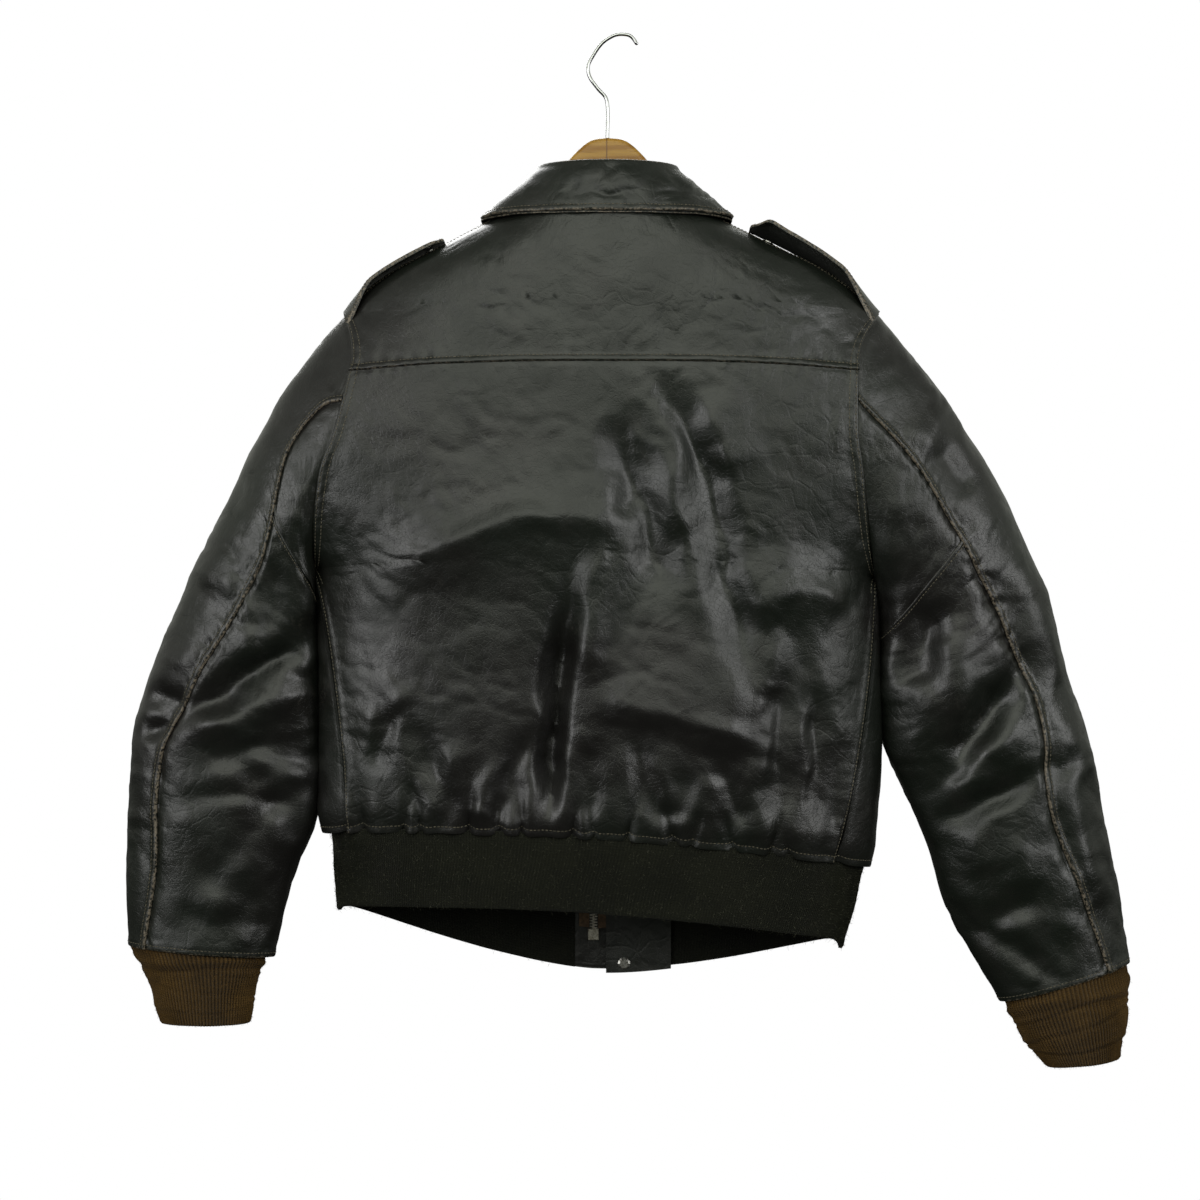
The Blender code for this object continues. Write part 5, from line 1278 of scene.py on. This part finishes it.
def make_collar(leather):
    columns = samples(460, 3.4) * 2 - 1
    keys = np.concatenate([np.linspace(0.01, 0.40, 14), np.linspace(0.42, 0.56, 12),
                           np.linspace(0.58, 0.93, 30), [0.95, 0.965, 0.975, 0.985, 0.99]])

    def place(share, key, out):
        point = collar_line(share, key)
        along = collar_line(share, key + 0.01) - collar_line(share, key - 0.01)
        inner = np.clip(share, -0.99, 0.99)
        across = collar_line(inner + 0.01, key) - collar_line(inner - 0.01, key)
        normal = unit(np.cross(across, along))
        away = collar_line(share, 0 * key + 0.9) * [1, 1, 0]
        leaf = 0 * key + 0.9
        tip = unit(np.cross(collar_line(inner + 0.01, leaf) - collar_line(inner - 0.01, leaf),
                            collar_line(share, 0 * key + 0.91) - collar_line(share, 0 * key + 0.89)))
        return point + normal * np.sign(np.sum(tip * away, -1, keepdims=True)) * out[..., None]

    u, v = np.meshgrid(columns, keys, indexing="ij")
    panel = Panel(place, u, v)
    x, z = panel.points[..., 0], panel.points[..., 2]
    back = panel.points[..., 1] > 0
    leaf = ease((v - 0.5) / 0.1)
    creases = [(depth, half_width * 0.9, [(a, b * LEAF_TALL) for a, b in line])
               for depth, half_width, line in COLLAR_CREASES]
    panel.lift += crease_lift(x, v * LEAF_TALL, creases) * back * leaf
    panel.lift += 0.9 * wrinkles(x, z + 30 * back, 70) * leaf
    panel.lift += 0.5 * ripple(x, v * 60, 71, 26.0) * leaf
    panel.over("v1", height=0.7, reach=5.0, wear=0.8, pucker=0.5, wave=14.0, seed=15)
    panel.over("u0", height=0.3, wear=0.7, pucker=0.1)
    panel.over("u1", height=0.3, wear=0.7, pucker=0.1)
    panel.stitch("v1", 5.0)
    panel.wear = np.maximum(panel.wear, 0.55 * np.exp(-((v - 0.48) / 0.03) ** 2))
    panel.mesh("collar_leather", "collar", leather, COLLAR, "leather", held="folded",
               rests_on=["back_yoke"])

    def place_under(share, key, out):
        below = out - COLLAR - 0.6
        over = place(share, np.minimum(key, 0.99), below)
        reach = place(share, 0 * key + 0.99, below) - place(share, 0 * key + 0.97, below)
        return over + unit(reach) * np.maximum(key - 0.99, 0)[..., None] * 160

    keys = np.concatenate([np.linspace(0.60, 0.98, 18), [0.99, 0.993, 0.996, 0.999]])
    u, v = np.meshgrid(columns, keys, indexing="ij")
    panel = Panel(place_under, u, v)
    panel.lift += 0.4 * ripple(panel.points[..., 0], v * 60, 73, 30.0) * ease((v - 0.8) / 0.1)
    panel.wear = 0.8 * np.exp(-panel.distance("v1") / 1.2)
    panel.mesh("collar_under_leather", "collar_under", leather, UNDER_COLLAR, "leather", held="folded",
               rests_on=["back_yoke"])


def make_straps(leather):
    for name, side, lift, free_x in STRAPS:
        rows = mix(STRAP_FRONT, STRAP_BACK, samples(44, 2.4))
        u, v = np.meshgrid(samples(106, 2.4), rows, indexing="ij")
        v = v + (SNAP_Y - v) * 0.45 * ease((u - SNAP_SHARE) / (1 - SNAP_SHARE))

        def place(share, y, out):
            return strap_place(side, lift, free_x, share, y, out + STRAP)

        panel = Panel(place, u, v)
        panel.lift += 0.35 * wrinkles(panel.points[..., 0], v, 80)
        for edge in ("v0", "v1", "u1"):
            away = panel.distance(edge)
            panel.lift -= 0.7 * (1 - np.clip(away / 1.6, 0, 1)) ** 2
            panel.lift += 0.25 * np.exp(-((away - 1.8) / 1.2) ** 2)
            panel.wear = np.maximum(panel.wear, 0.9 * np.exp(-away / 1.8))
            panel.stitch(edge, 3.2)
        panel.mesh(f"epaulette_{name}_leather", f"epaulette_{name}", leather, STRAP, "leather",
                   held="folded", rests_on=["back_yoke"])


TEETH = 444                    # of both sides together


def box_faces(start):
    """The faces of a box whose eight points begin at a number."""
    order = ((0, 1, 3, 2), (4, 6, 7, 5), (0, 4, 5, 1), (2, 3, 7, 6), (0, 2, 6, 4), (1, 5, 7, 3))
    return [tuple(start + i for i in face) for face in order]


def make_zip(tape, metal, leather):
    """Tapes, teeth and wind flap behind the fronts' edges."""
    levels = np.linspace(CHAIN_END, NECK - 6, 150)
    for name, side in (("zip_tape_left", 1), ("zip_tape_right", -1)):
        u, v = np.meshgrid(np.linspace(0, 1, 7), levels, indexing="ij")
        offset = side * mix(TAPE_INNER, TAPE_OUTER, u)
        panel = Panel(lambda x, level, out: zip_place(x, level, TAPE_DEPTH - out), ZIP_LINE(v) + offset, v)
        panel.lift += 0.25 * np.exp(-((u - 0.1) / 0.1) ** 2)
        panel.mesh(f"{name}_weave", name, tape, TAPE_THICK, "zip_tape",
                   rests_on=[name.replace("zip_tape", "front")])
    points = []
    faces = []
    for i, level in enumerate(np.linspace(CHAIN_END, SLIDER_LEVEL - 9, TEETH)):
        side = 1 if i % 2 else -1
        at = np.array(float(level))
        centre = zip_place(ZIP_LINE(at), at, ZIP_INSET)
        below = zip_place(ZIP_LINE(at - 1), at - 1, ZIP_INSET)
        up = unit(centre - below)
        across = np.array([1.0, 0, 0])
        out = np.cross(across, up)
        start = len(points)
        for a in (-0.9, 3.4):
            for b in (-1.1, 1.1):
                for c in (-0.55, 0.55):
                    taper, spread = (0.75, 1.25) if a < 0 else (1.0, 1.0)
                    points.append(centre + across * side * a + out * b * taper + up * c * spread)
        faces.extend(box_faces(start) if side > 0 else [f[::-1] for f in box_faces(start)])
    teeth = solid("zip_teeth", np.array(points), faces, metal, smooth=20.0)
    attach(teeth, "root")
    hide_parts("zip_chain")

    u, v = np.meshgrid(samples(58, 3), np.linspace(BAND_END, NECK - 14, 170), indexing="ij")
    depth = profile((0, FLAP_DEPTH - 2.6), (0.35, FLAP_DEPTH - 0.6), (0.65, FLAP_DEPTH), (1, FLAP_DEPTH))(u)
    drop = FLAP_DROP * ease((BAND_END + 12 - v) / 12)

    def place(x, level, out):
        return zip_place(x, level, depth - out) - np.stack([0 * out, 0 * out, drop], -1)

    panel = Panel(place, mix(FLAP_INNER, FLAP_OUTER, u), v)
    panel.lift += 0.4 * wrinkles(panel.points[..., 0], panel.points[..., 2], 90)
    panel.wear = 0.7 * np.exp(-panel.distance("u1") / 1.5) + 0.5 * np.exp(-panel.distance("v0") / 1.5)
    panel.mesh("wind_flap_leather", "wind_flap", leather, LEATHER, "leather", rests_on=["front_right"])


def make_hanger(wood, metal):
    """The wooden body, smoothly rounded, and the bent wire."""
    ends = np.array([201.5, 204, 205.4, WOOD_REACH])
    reach = np.concatenate([-ends[::-1], np.linspace(-197, 197, 132), ends])
    turns = np.radians(np.arange(0, 360, 12))
    rings = []
    for x in reach:
        high = float(wood_top(np.array(abs(x)), 1 if x >= 0 else -1))
        low = float(WOOD_UNDER(abs(x)))
        end = math.sqrt(max(0.02, 1 - (max(0.0, abs(x) - 196) / 10.2) ** 2))
        half = (high - low) / 2 * (0.35 + 0.65 * end)
        ring_points = []
        for turn in turns:
            a, b = math.sin(turn), math.cos(turn)
            squared = (abs(a) ** 5 + abs(b) ** 5) ** -0.2
            side = WOOD_HALF * end * a * squared
            up = half * b * squared
            if abs(b) > 0.3:
                up = half * math.copysign(1 - (1 - min(1.0, abs(b) * squared)) * 0.55, b)
            ring_points.append((x, side, (high + low) / 2 + up))
        rings.append(ring_points)
    finish_tube("hanger_wood_varnished", rings, wood, "hanger_wood")
    share = np.concatenate([[0], np.linspace(0.02, 5.2, 90)])
    line = HOOK_LINE(share)
    path = np.stack([line[:, 0], 0 * share, line[:, 1]], -1)
    along = unit(np.gradient(path, axis=0))
    flat = np.stack([-along[:, 2], 0 * share, along[:, 0]], -1)
    rings = []
    for i, (point, sideways) in enumerate(zip(path, flat)):
        radius = HOOK_WIRE * (0.6 if i == len(path) - 1 else 1.0)
        angles = np.linspace(0, 2 * np.pi, 14, endpoint=False)
        rings.append([point + radius * (math.cos(t) * sideways + math.sin(t) * np.array([0, 1, 0]))
                      for t in angles])
    finish_tube("hanger_hook_wire", rings, metal, "hanger_hook")


def finish_tube(name, rings, surface, node):
    """A closed tube through rings of points, in place of its solid."""
    points = [p for ring_points in rings for p in ring_points]
    size = len(rings[0])
    faces = []
    for k in range(len(rings) - 1):
        for i in range(size):
            j = (i + 1) % size
            faces.append((k * size + i, k * size + j, (k + 1) * size + j, (k + 1) * size + i))
    faces.append(tuple(range(size))[::-1])
    faces.append(tuple((len(rings) - 1) * size + i for i in range(size)))
    made = solid(name, np.array(points), faces, surface, smooth=50.0)
    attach(made, "root")
    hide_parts(node)
    return made


def make_threads(thread):
    """Every stitched row, gathered into a few meshes."""
    groups = {}
    for panel, edge, inset, start, stop, pitch in ALL_THREADS:
        line, out = panel.line(edge, inset)
        first, last = int(start * (len(line) - 1)), int(stop * (len(line) - 1)) + 1
        key = "back" if line[:, 1].mean() > 12 else "front"
        groups.setdefault(key, []).append((line[first:last], out[first:last], pitch))
    for key, rows in groups.items():
        made = stitches(f"stitching_{key}", rows, thread)


# Wool hairs that stand off the knits: piece, slot, how many and how long
HAIRS = (
    ("waistband_knit", "band_knit", 6000, 5.5),
    ("cuff_left_knit", "cuff_knit", 2600, 3.0),
    ("cuff_right_knit", "cuff_knit", 2600, 3.0),
)
HAIR_HALF = 0.1                # half of a hair's width


def make_hairs(piece, count, length, seed, surface):
    """Short loose wool hairs standing off a knitted piece, as one mesh of thin bent slivers."""
    rng = np.random.default_rng(seed)
    mesh = piece.data
    places = np.empty(len(mesh.vertices) * 3)
    mesh.vertices.foreach_get("co", places)
    ways = np.empty(len(mesh.vertices) * 3)
    mesh.vertices.foreach_get("normal", ways)
    chosen = rng.integers(0, len(mesh.vertices) // 2, count)
    root = places.reshape(-1, 3)[chosen] / MM + [HOOK_X, 0, 0]
    out = ways.reshape(-1, 3)[chosen]
    free = rng.normal(0, 1, (count, 3))
    lean = unit(free - out * (free * out).sum(1)[:, None])
    side = np.cross(out, lean)
    reach = length * rng.uniform(0.35, 1.0, (count, 1)) ** 1.5
    middle = root + lean * reach * 0.5 + out * (0.5 + 0.1 * reach)
    tip = root + lean * reach + out * rng.uniform(0.2, 1.2, (count, 1)) - np.array([0, 0, 0.25]) * reach
    wide = side * HAIR_HALF
    points = np.stack([root, middle - wide, middle + wide, middle + out * HAIR_HALF, tip], 1)
    sliver = np.array([(0, 2, 1), (0, 3, 2), (0, 1, 3), (4, 1, 2), (4, 2, 3), (4, 3, 1)])
    faces = (sliver[None] + 5 * np.arange(count)[:, None, None]).reshape(-1, 3)
    hairs = solid(f"{piece.name}_hairs", points.reshape(-1, 3), faces, surface)
    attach(hairs, "root")


# Materials

COLOUR_A = 6                   # sockets of the Mix node that hold its two colours and the mixed one
COLOUR_B = 7
MIXED = 2


class Surface:
    """A Principled material and short calls for its nodes."""

    def __init__(self, name, **values):
        self.made = bpy.data.materials.new(name)
        self.made.use_nodes = True
        self.tree = self.made.node_tree
        self.shader = self.tree.nodes["Principled BSDF"]
        for socket, value in values.items():
            self.shader.inputs[socket.replace("_", " ")].default_value = value
        self.place = self.node("ShaderNodeTexCoord").outputs["Object"]

    def node(self, kind, **settings):
        made = self.tree.nodes.new(kind)
        for key, value in settings.items():
            setattr(made, key, value)
        return made

    def link(self, value, socket):
        if isinstance(value, bpy.types.NodeSocket):
            self.tree.links.new(value, socket)
        else:
            socket.default_value = value

    def noise(self, scale, detail=3.0, rough=0.55, warp=0.0, place=None, stretch=None):
        made = self.node("ShaderNodeTexNoise")
        made.inputs["Scale"].default_value = scale
        made.inputs["Detail"].default_value = detail
        made.inputs["Roughness"].default_value = rough
        made.inputs["Distortion"].default_value = warp
        self.link(self.stretched(place or self.place, stretch), made.inputs["Vector"])
        return made.outputs["Fac"]

    def cells(self, scale, feature="F1", place=None, stretch=None, warp=0.0, warp_scale=1.0):
        made = self.node("ShaderNodeTexVoronoi", feature=feature)
        made.inputs["Scale"].default_value = scale
        where = self.stretched(place or self.place, stretch)
        if warp:
            shift = self.node("ShaderNodeTexNoise")
            shift.inputs["Scale"].default_value = warp_scale
            self.link(where, shift.inputs["Vector"])
            add = self.node("ShaderNodeVectorMath", operation="MULTIPLY_ADD")
            self.link(shift.outputs["Color"], add.inputs[0])
            add.inputs[1].default_value = (warp, warp, warp)
            self.link(where, add.inputs[2])
            where = add.outputs["Vector"]
        self.link(where, made.inputs["Vector"])
        return made.outputs["Distance"]

    def stretched(self, place, stretch):
        if not stretch:
            return place
        made = self.node("ShaderNodeMapping")
        made.inputs["Scale"].default_value = stretch
        self.link(place, made.inputs["Vector"])
        return made.outputs["Vector"]

    def field(self, name, output="Fac"):
        return self.node("ShaderNodeAttribute", attribute_name=name).outputs[output]

    def math(self, operation, *values):
        made = self.node("ShaderNodeMath", operation=operation)
        for value, socket in zip(values, made.inputs):
            self.link(value, socket)
        return made.outputs["Value"]

    def range(self, value, low, high, to_low=0.0, to_high=1.0, soft=True):
        made = self.node("ShaderNodeMapRange", interpolation_type="SMOOTHSTEP" if soft else "LINEAR")
        for socket, number in zip(made.inputs, (value, low, high, to_low, to_high)):
            self.link(number, socket)
        return made.outputs["Result"]

    def blend(self, share, first, second):
        made = self.node("ShaderNodeMix", data_type="RGBA")
        self.link(share, made.inputs["Factor"])
        for value, socket in ((first, COLOUR_A), (second, COLOUR_B)):
            if not isinstance(value, bpy.types.NodeSocket):
                value = (*value, 1)
            self.link(value, made.inputs[socket])
        return made.outputs[MIXED]

    def bump(self, height, distance, strength, before=None):
        made = self.node("ShaderNodeBump")
        self.link(height, made.inputs["Height"])
        made.inputs["Distance"].default_value = distance
        made.inputs["Strength"].default_value = strength
        if before:
            self.link(before, made.inputs["Normal"])
        return made.outputs["Normal"]

    def paint(self, colour=None, roughness=None, normal=None):
        for value, name in ((colour, "Base Color"), (roughness, "Roughness"), (normal, "Normal")):
            if value is not None:
                self.link(value, self.shader.inputs[name])
        return self.made


def leather_surface():
    s = Surface("leather_worn", Specular_IOR_Level=0.55, Coat_Weight=0.14, Coat_Roughness=0.22)
    olive = s.range(s.noise(4.5, 3), 0.40, 0.60)
    colour = s.blend(olive, (0.0105, 0.0098, 0.0092), (0.0088, 0.0116, 0.0082))
    patches = s.range(s.noise(30, 5, 0.62), 0.45, 0.75)
    colour = s.blend(s.math("MULTIPLY", patches, 0.45), colour, (0.020, 0.0190, 0.0170))
    crackle = s.cells(240, "DISTANCE_TO_EDGE", warp=0.012, warp_scale=40)
    scuff_area = s.range(s.noise(14, 4, 0.7), 0.58, 0.76)
    scuffs = s.math("MULTIPLY", scuff_area, s.range(s.noise(260, 4, 0.7), 0.48, 0.66))
    colour = s.blend(s.math("MULTIPLY", scuffs, 0.3), colour, (0.085, 0.075, 0.062))
    worn = s.math("MULTIPLY", s.field("wear"), s.range(s.noise(420, 5, 0.7), 0.36, 0.62))
    worn = s.range(worn, 0.16, 0.62)
    colour = s.blend(s.math("MULTIPLY", worn, 0.8), colour, (0.26, 0.215, 0.16))
    rough = s.range(s.noise(18, 4, 0.6), 0.3, 0.7, 0.27, 0.43)
    rough = s.math("ADD", rough, s.math("MULTIPLY", worn, 0.2))
    rough = s.math("ADD", rough, s.math("MULTIPLY", scuffs, 0.14))
    normal = s.bump(s.noise(30, 4, 0.6, 0.6), 0.0030, 0.22)
    region = s.range(s.noise(9, 3, 0.6), 0.42, 0.66)
    creases = s.range(s.cells(52, "DISTANCE_TO_EDGE", warp=0.06, warp_scale=16), 0.0, 0.12, 1.0, 0.0)
    creases = s.math("SUBTRACT", 1.0, s.math("MULTIPLY", creases, region))
    normal = s.bump(creases, 0.0007, 0.2, normal)
    folds = s.cells(24, "DISTANCE_TO_EDGE", warp=0.09, warp_scale=9)
    normal = s.bump(s.range(folds, 0.0, 0.2), 0.0014, 0.16, normal)
    fine = s.noise(120, 4, 0.6, 1.2, stretch=(1.0, 1.0, 0.45))
    normal = s.bump(fine, 0.0007, 0.2, normal)
    normal = s.bump(s.range(crackle, 0.0, 0.10, 0.0, 1.0), 0.0003, 0.22, normal)
    normal = s.bump(s.cells(1250), 0.0002, 0.3, normal)
    return s.paint(colour, rough, normal)


def knit_surface(name, dark, light, pitch, sheen):
    s = Surface(name, Roughness=0.95, Sheen_Weight=sheen, Sheen_Roughness=0.6, Specular_IOR_Level=0.06)
    run = s.field("run", "Vector")
    parts = s.node("ShaderNodeSeparateXYZ")
    s.link(run, parts.inputs[0])
    fuzz = s.noise(900, 6, 0.75)
    patch = s.noise(24, 4, 0.6)
    # On the knits this field's rib pattern paints shade into the rib valleys and light onto the crests;
    # fuzz and patches vary the tone at random.
    share = s.math("MULTIPLY", s.field("wear"), 0.55)
    share = s.math("ADD", share, s.math("MULTIPLY", s.range(fuzz, 0.35, 0.7), 0.35))
    share = s.math("ADD", share, s.math("MULTIPLY", s.range(patch, 0.4, 0.62), 0.3))
    colour = s.blend(share, dark, light)
    loops = s.math("SINE", s.math("MULTIPLY", parts.outputs["Y"], 2 * math.pi / pitch))
    strands = s.noise(2600, 3, 0.7, 0.5)
    normal = s.bump(loops, 0.0004, 0.4)
    normal = s.bump(fuzz, 0.0012, 0.7, normal)
    normal = s.bump(strands, 0.0005, 0.6, normal)
    return s.paint(colour, None, normal)


def hair_surface(name, dark, light):
    s = Surface(name, Roughness=0.9, Specular_IOR_Level=0.1)
    return s.paint(s.blend(s.range(s.noise(420, 3), 0.35, 0.65), dark, light))


def tape_surface():
    s = Surface("zip_tape_woven", Roughness=0.9, Sheen_Weight=0.2)
    run = s.field("run", "Vector")
    parts = s.node("ShaderNodeSeparateXYZ")
    s.link(run, parts.inputs[0])
    warp = s.math("SINE", s.math("MULTIPLY", parts.outputs["X"], 2 * math.pi / 0.0009))
    weft = s.math("SINE", s.math("MULTIPLY", parts.outputs["Y"], 2 * math.pi / 0.0007))
    weave = s.math("MULTIPLY", warp, weft)
    colour = s.blend(s.range(s.noise(300, 4), 0.35, 0.65), (0.075, 0.045, 0.022), (0.14, 0.085, 0.042))
    return s.paint(colour, None, s.bump(weave, 0.0003, 0.6))


def metal_surface(name, colour, tarnish, rough_low, rough_high):
    s = Surface(name, Metallic=1.0)
    share = s.range(s.noise(420, 5, 0.65), 0.45, 0.7)
    mixed = s.blend(share, colour, tarnish)
    rough = s.range(s.noise(900, 4, 0.6), 0.3, 0.7, rough_low, rough_high)
    return s.paint(mixed, rough, s.bump(s.noise(1600, 3), 0.00006, 0.25))


def wood_surface():
    s = Surface("hanger_wood_varnished", Coat_Weight=0.2, Coat_Roughness=0.15, Specular_IOR_Level=0.35)
    parts = s.node("ShaderNodeSeparateXYZ")
    s.link(s.place, parts.inputs[0])
    warp = s.noise(14, 3, 0.6, 0.4, stretch=(0.5, 1, 1.6))
    bands = s.math("ADD", s.math("MULTIPLY", parts.outputs["Z"], 520.0), s.math("MULTIPLY", warp, 16.0))
    bands = s.math("ADD", bands, s.math("MULTIPLY", parts.outputs["Y"], 260.0))
    rings = s.range(s.math("SINE", bands), -1.0, 1.0)
    pores = s.range(s.noise(180, 3, 0.6, stretch=(0.15, 1, 5)), 0.52, 0.72)
    colour = s.blend(rings, (0.47, 0.26, 0.048), (0.34, 0.165, 0.026))
    colour = s.blend(s.math("MULTIPLY", pores, 0.5), colour, (0.20, 0.09, 0.025))
    beside = s.math("ABSOLUTE", s.math("SUBTRACT", parts.outputs["X"], 0.0125))
    glue = s.range(beside, 0.0002, 0.0009, 1.0, 0.0)
    colour = s.blend(s.math("MULTIPLY", glue, 0.75), colour, (0.12, 0.05, 0.018))
    rough = s.range(pores, 0, 1, 0.26, 0.4)
    return s.paint(colour, rough, s.bump(pores, 0.0001, 0.3))


def thread_surface():
    s = Surface("thread_twisted", Roughness=0.8)
    colour = s.blend(s.range(s.noise(600, 3), 0.4, 0.6), (0.070, 0.062, 0.044), (0.170, 0.148, 0.104))
    return s.paint(colour, None, s.bump(s.noise(4200, 2), 0.00015, 0.5))


# The stage
FLOOR_LEVEL = -1.5             # in metres, like all of the stage
FLOOR_REACH = 1.9              # radius of the floor
FLOOR_SIDES = 96
CAMERA_PLACE = (0.0184, 2.4, -0.4963)
CAMERA_LENS = 81.8
# The room's brightness by its height: 0 straight down, 0.5 at the horizon, 1 straight up
SKY = ((0, 0.05), (0.40, 0.04), (0.46, 0.08), (0.50, 0.18), (0.56, 0.40), (0.68, 0.52), (0.82, 0.34),
       (1, 0.10))
# Lights: name, place, what it faces, width, power and colour
LIGHTS = (
    ("light_top_back", (0.1, 2.4, 1.1), (0, 0, -0.4), 2.8, 23, (0.97, 1.0, 0.88)),
    ("light_left", (2.2, 2.1, -0.2), (0, 0, -0.5), 1.6, 19, (1, 1, 1)),
    ("light_right", (-2.2, 2.1, 0.1), (0, 0, -0.5), 1.6, 19, (1, 1, 1)),
    ("light_front", (0.4, -2.2, 1.2), (0, 0, -0.4), 2.0, 40, (1, 1, 1)),
)


def make_stage():
    """Floor, room, lights and camera."""
    bpy.context.scene.view_settings.view_transform = "Standard"
    s = Surface("floor_plain", Base_Color=(0.86, 0.86, 0.85, 1), Roughness=0.9)
    data = bpy.data.meshes.new("floor")
    angles = [math.tau * i / FLOOR_SIDES for i in range(FLOOR_SIDES)]
    corners = [(FLOOR_REACH * math.cos(a), FLOOR_REACH * math.sin(a), FLOOR_LEVEL) for a in angles]
    data.from_pydata(corners, [], [tuple(range(FLOOR_SIDES))])
    data.materials.append(s.made)
    floor = bpy.data.objects.new("floor", data)
    bpy.context.scene.collection.objects.link(floor)
    floor.visible_glossy = False
    floor.visible_diffuse = False

    world = bpy.data.worlds.new("studio")
    bpy.context.scene.world = world
    world.use_nodes = True
    tree = world.node_tree
    shown = tree.nodes["Background"]
    shown.inputs["Color"].default_value = (1, 1, 1, 1)
    shown.inputs["Strength"].default_value = 1.0
    dim = tree.nodes.new("ShaderNodeBackground")
    dim.inputs["Color"].default_value = (0.97, 1.0, 0.89, 1)
    way = tree.nodes.new("ShaderNodeTexCoord")
    parts = tree.nodes.new("ShaderNodeSeparateXYZ")
    height = tree.nodes.new("ShaderNodeFloatCurve")
    curve = height.mapping.curves[0]
    for (level, bright), point in zip((SKY[0], SKY[-1]), (curve.points[0], curve.points[-1])):
        point.location = (level, bright)
    for level, bright in SKY[1:-1]:
        curve.points.new(level, bright)
    height.mapping.update()
    raised = tree.nodes.new("ShaderNodeMath")
    raised.operation = "MULTIPLY_ADD"
    raised.inputs[1].default_value = 0.5
    raised.inputs[2].default_value = 0.5
    tree.links.new(way.outputs["Generated"], parts.inputs[0])
    tree.links.new(parts.outputs["Z"], raised.inputs[0])
    tree.links.new(raised.outputs["Value"], height.inputs["Value"])
    tree.links.new(height.outputs["Value"], dim.inputs["Strength"])
    ray = tree.nodes.new("ShaderNodeLightPath")
    both = tree.nodes.new("ShaderNodeMixShader")
    tree.links.new(ray.outputs["Is Camera Ray"], both.inputs["Fac"])
    tree.links.new(dim.outputs["Background"], both.inputs[1])
    tree.links.new(shown.outputs["Background"], both.inputs[2])
    tree.links.new(both.outputs["Shader"], tree.nodes["World Output"].inputs["Surface"])

    for name, place, target, size, power, tint in LIGHTS:
        light = bpy.data.lights.new(name, "AREA")
        light.shape = "DISK"
        light.size = size
        light.energy = power
        light.color = tint
        lamp = bpy.data.objects.new(name, light)
        lamp.location = place
        lamp.rotation_euler = (Vector(target) - Vector(place)).to_track_quat("-Z", "Y").to_euler()
        bpy.context.scene.collection.objects.link(lamp)

    camera = bpy.data.cameras.new("camera")
    camera.lens = CAMERA_LENS
    camera.sensor_width = 36.0
    camera.clip_end = 100.0
    eye = bpy.data.objects.new("camera", camera)
    eye.location = CAMERA_PLACE
    eye.rotation_euler = (math.radians(90), 0, math.radians(180))
    bpy.context.scene.collection.objects.link(eye)
    bpy.context.scene.camera = eye


def main():
    leather = leather_surface()
    cuff_knit = knit_surface("cuff_wool", (0.022, 0.0118, 0.0030), (0.118, 0.065, 0.016), 0.0021, 0.12)
    band_knit = knit_surface("band_wool", (0.0036, 0.0042, 0.0024), (0.0150, 0.0160, 0.0090), 0.0024, 0.08)
    tape = tape_surface()
    zip_metal = metal_surface("zip_metal_dull", (0.56, 0.53, 0.46), (0.26, 0.23, 0.17), 0.25, 0.42)
    snap_metal = metal_surface("snap_plated", (0.52, 0.51, 0.48), (0.22, 0.21, 0.18), 0.22, 0.4)
    chrome = metal_surface("hook_chromed", (0.72, 0.73, 0.74), (0.55, 0.55, 0.55), 0.06, 0.16)
    wood = wood_surface()
    thread = thread_surface()
    make_back(leather)
    make_fronts(leather)
    make_sleeves(leather)
    make_cuffs(cuff_knit)
    make_waistband(band_knit, leather)
    make_collar(leather)
    make_straps(leather)
    make_zip(tape, zip_metal, leather)
    make_hanger(wood, chrome)
    make_threads(thread)
    hair = {
        "band_knit": hair_surface("band_wool_hair", (0.034, 0.036, 0.024), (0.115, 0.114, 0.084)),
        "cuff_knit": hair_surface("cuff_wool_hair", (0.080, 0.042, 0.010), (0.240, 0.135, 0.036)),
    }
    for i, (name, slot, count, length) in enumerate(HAIRS):
        make_hairs(bpy.data.objects[name], count, length, 70 + i, hair[slot])
    for node, surface in (
        ("zip_box", zip_metal), ("zip_slider", zip_metal), ("zip_pull_tab", zip_metal),
        ("hem_snap", snap_metal), ("epaulette_snap_left", snap_metal), ("epaulette_snap_right", snap_metal),
        ("epaulette_stud_left", snap_metal), ("epaulette_stud_right", snap_metal),
    ):
        for slot in bpy.data.objects[node].material_slots:
            slot.material = surface
    make_stage()


main()
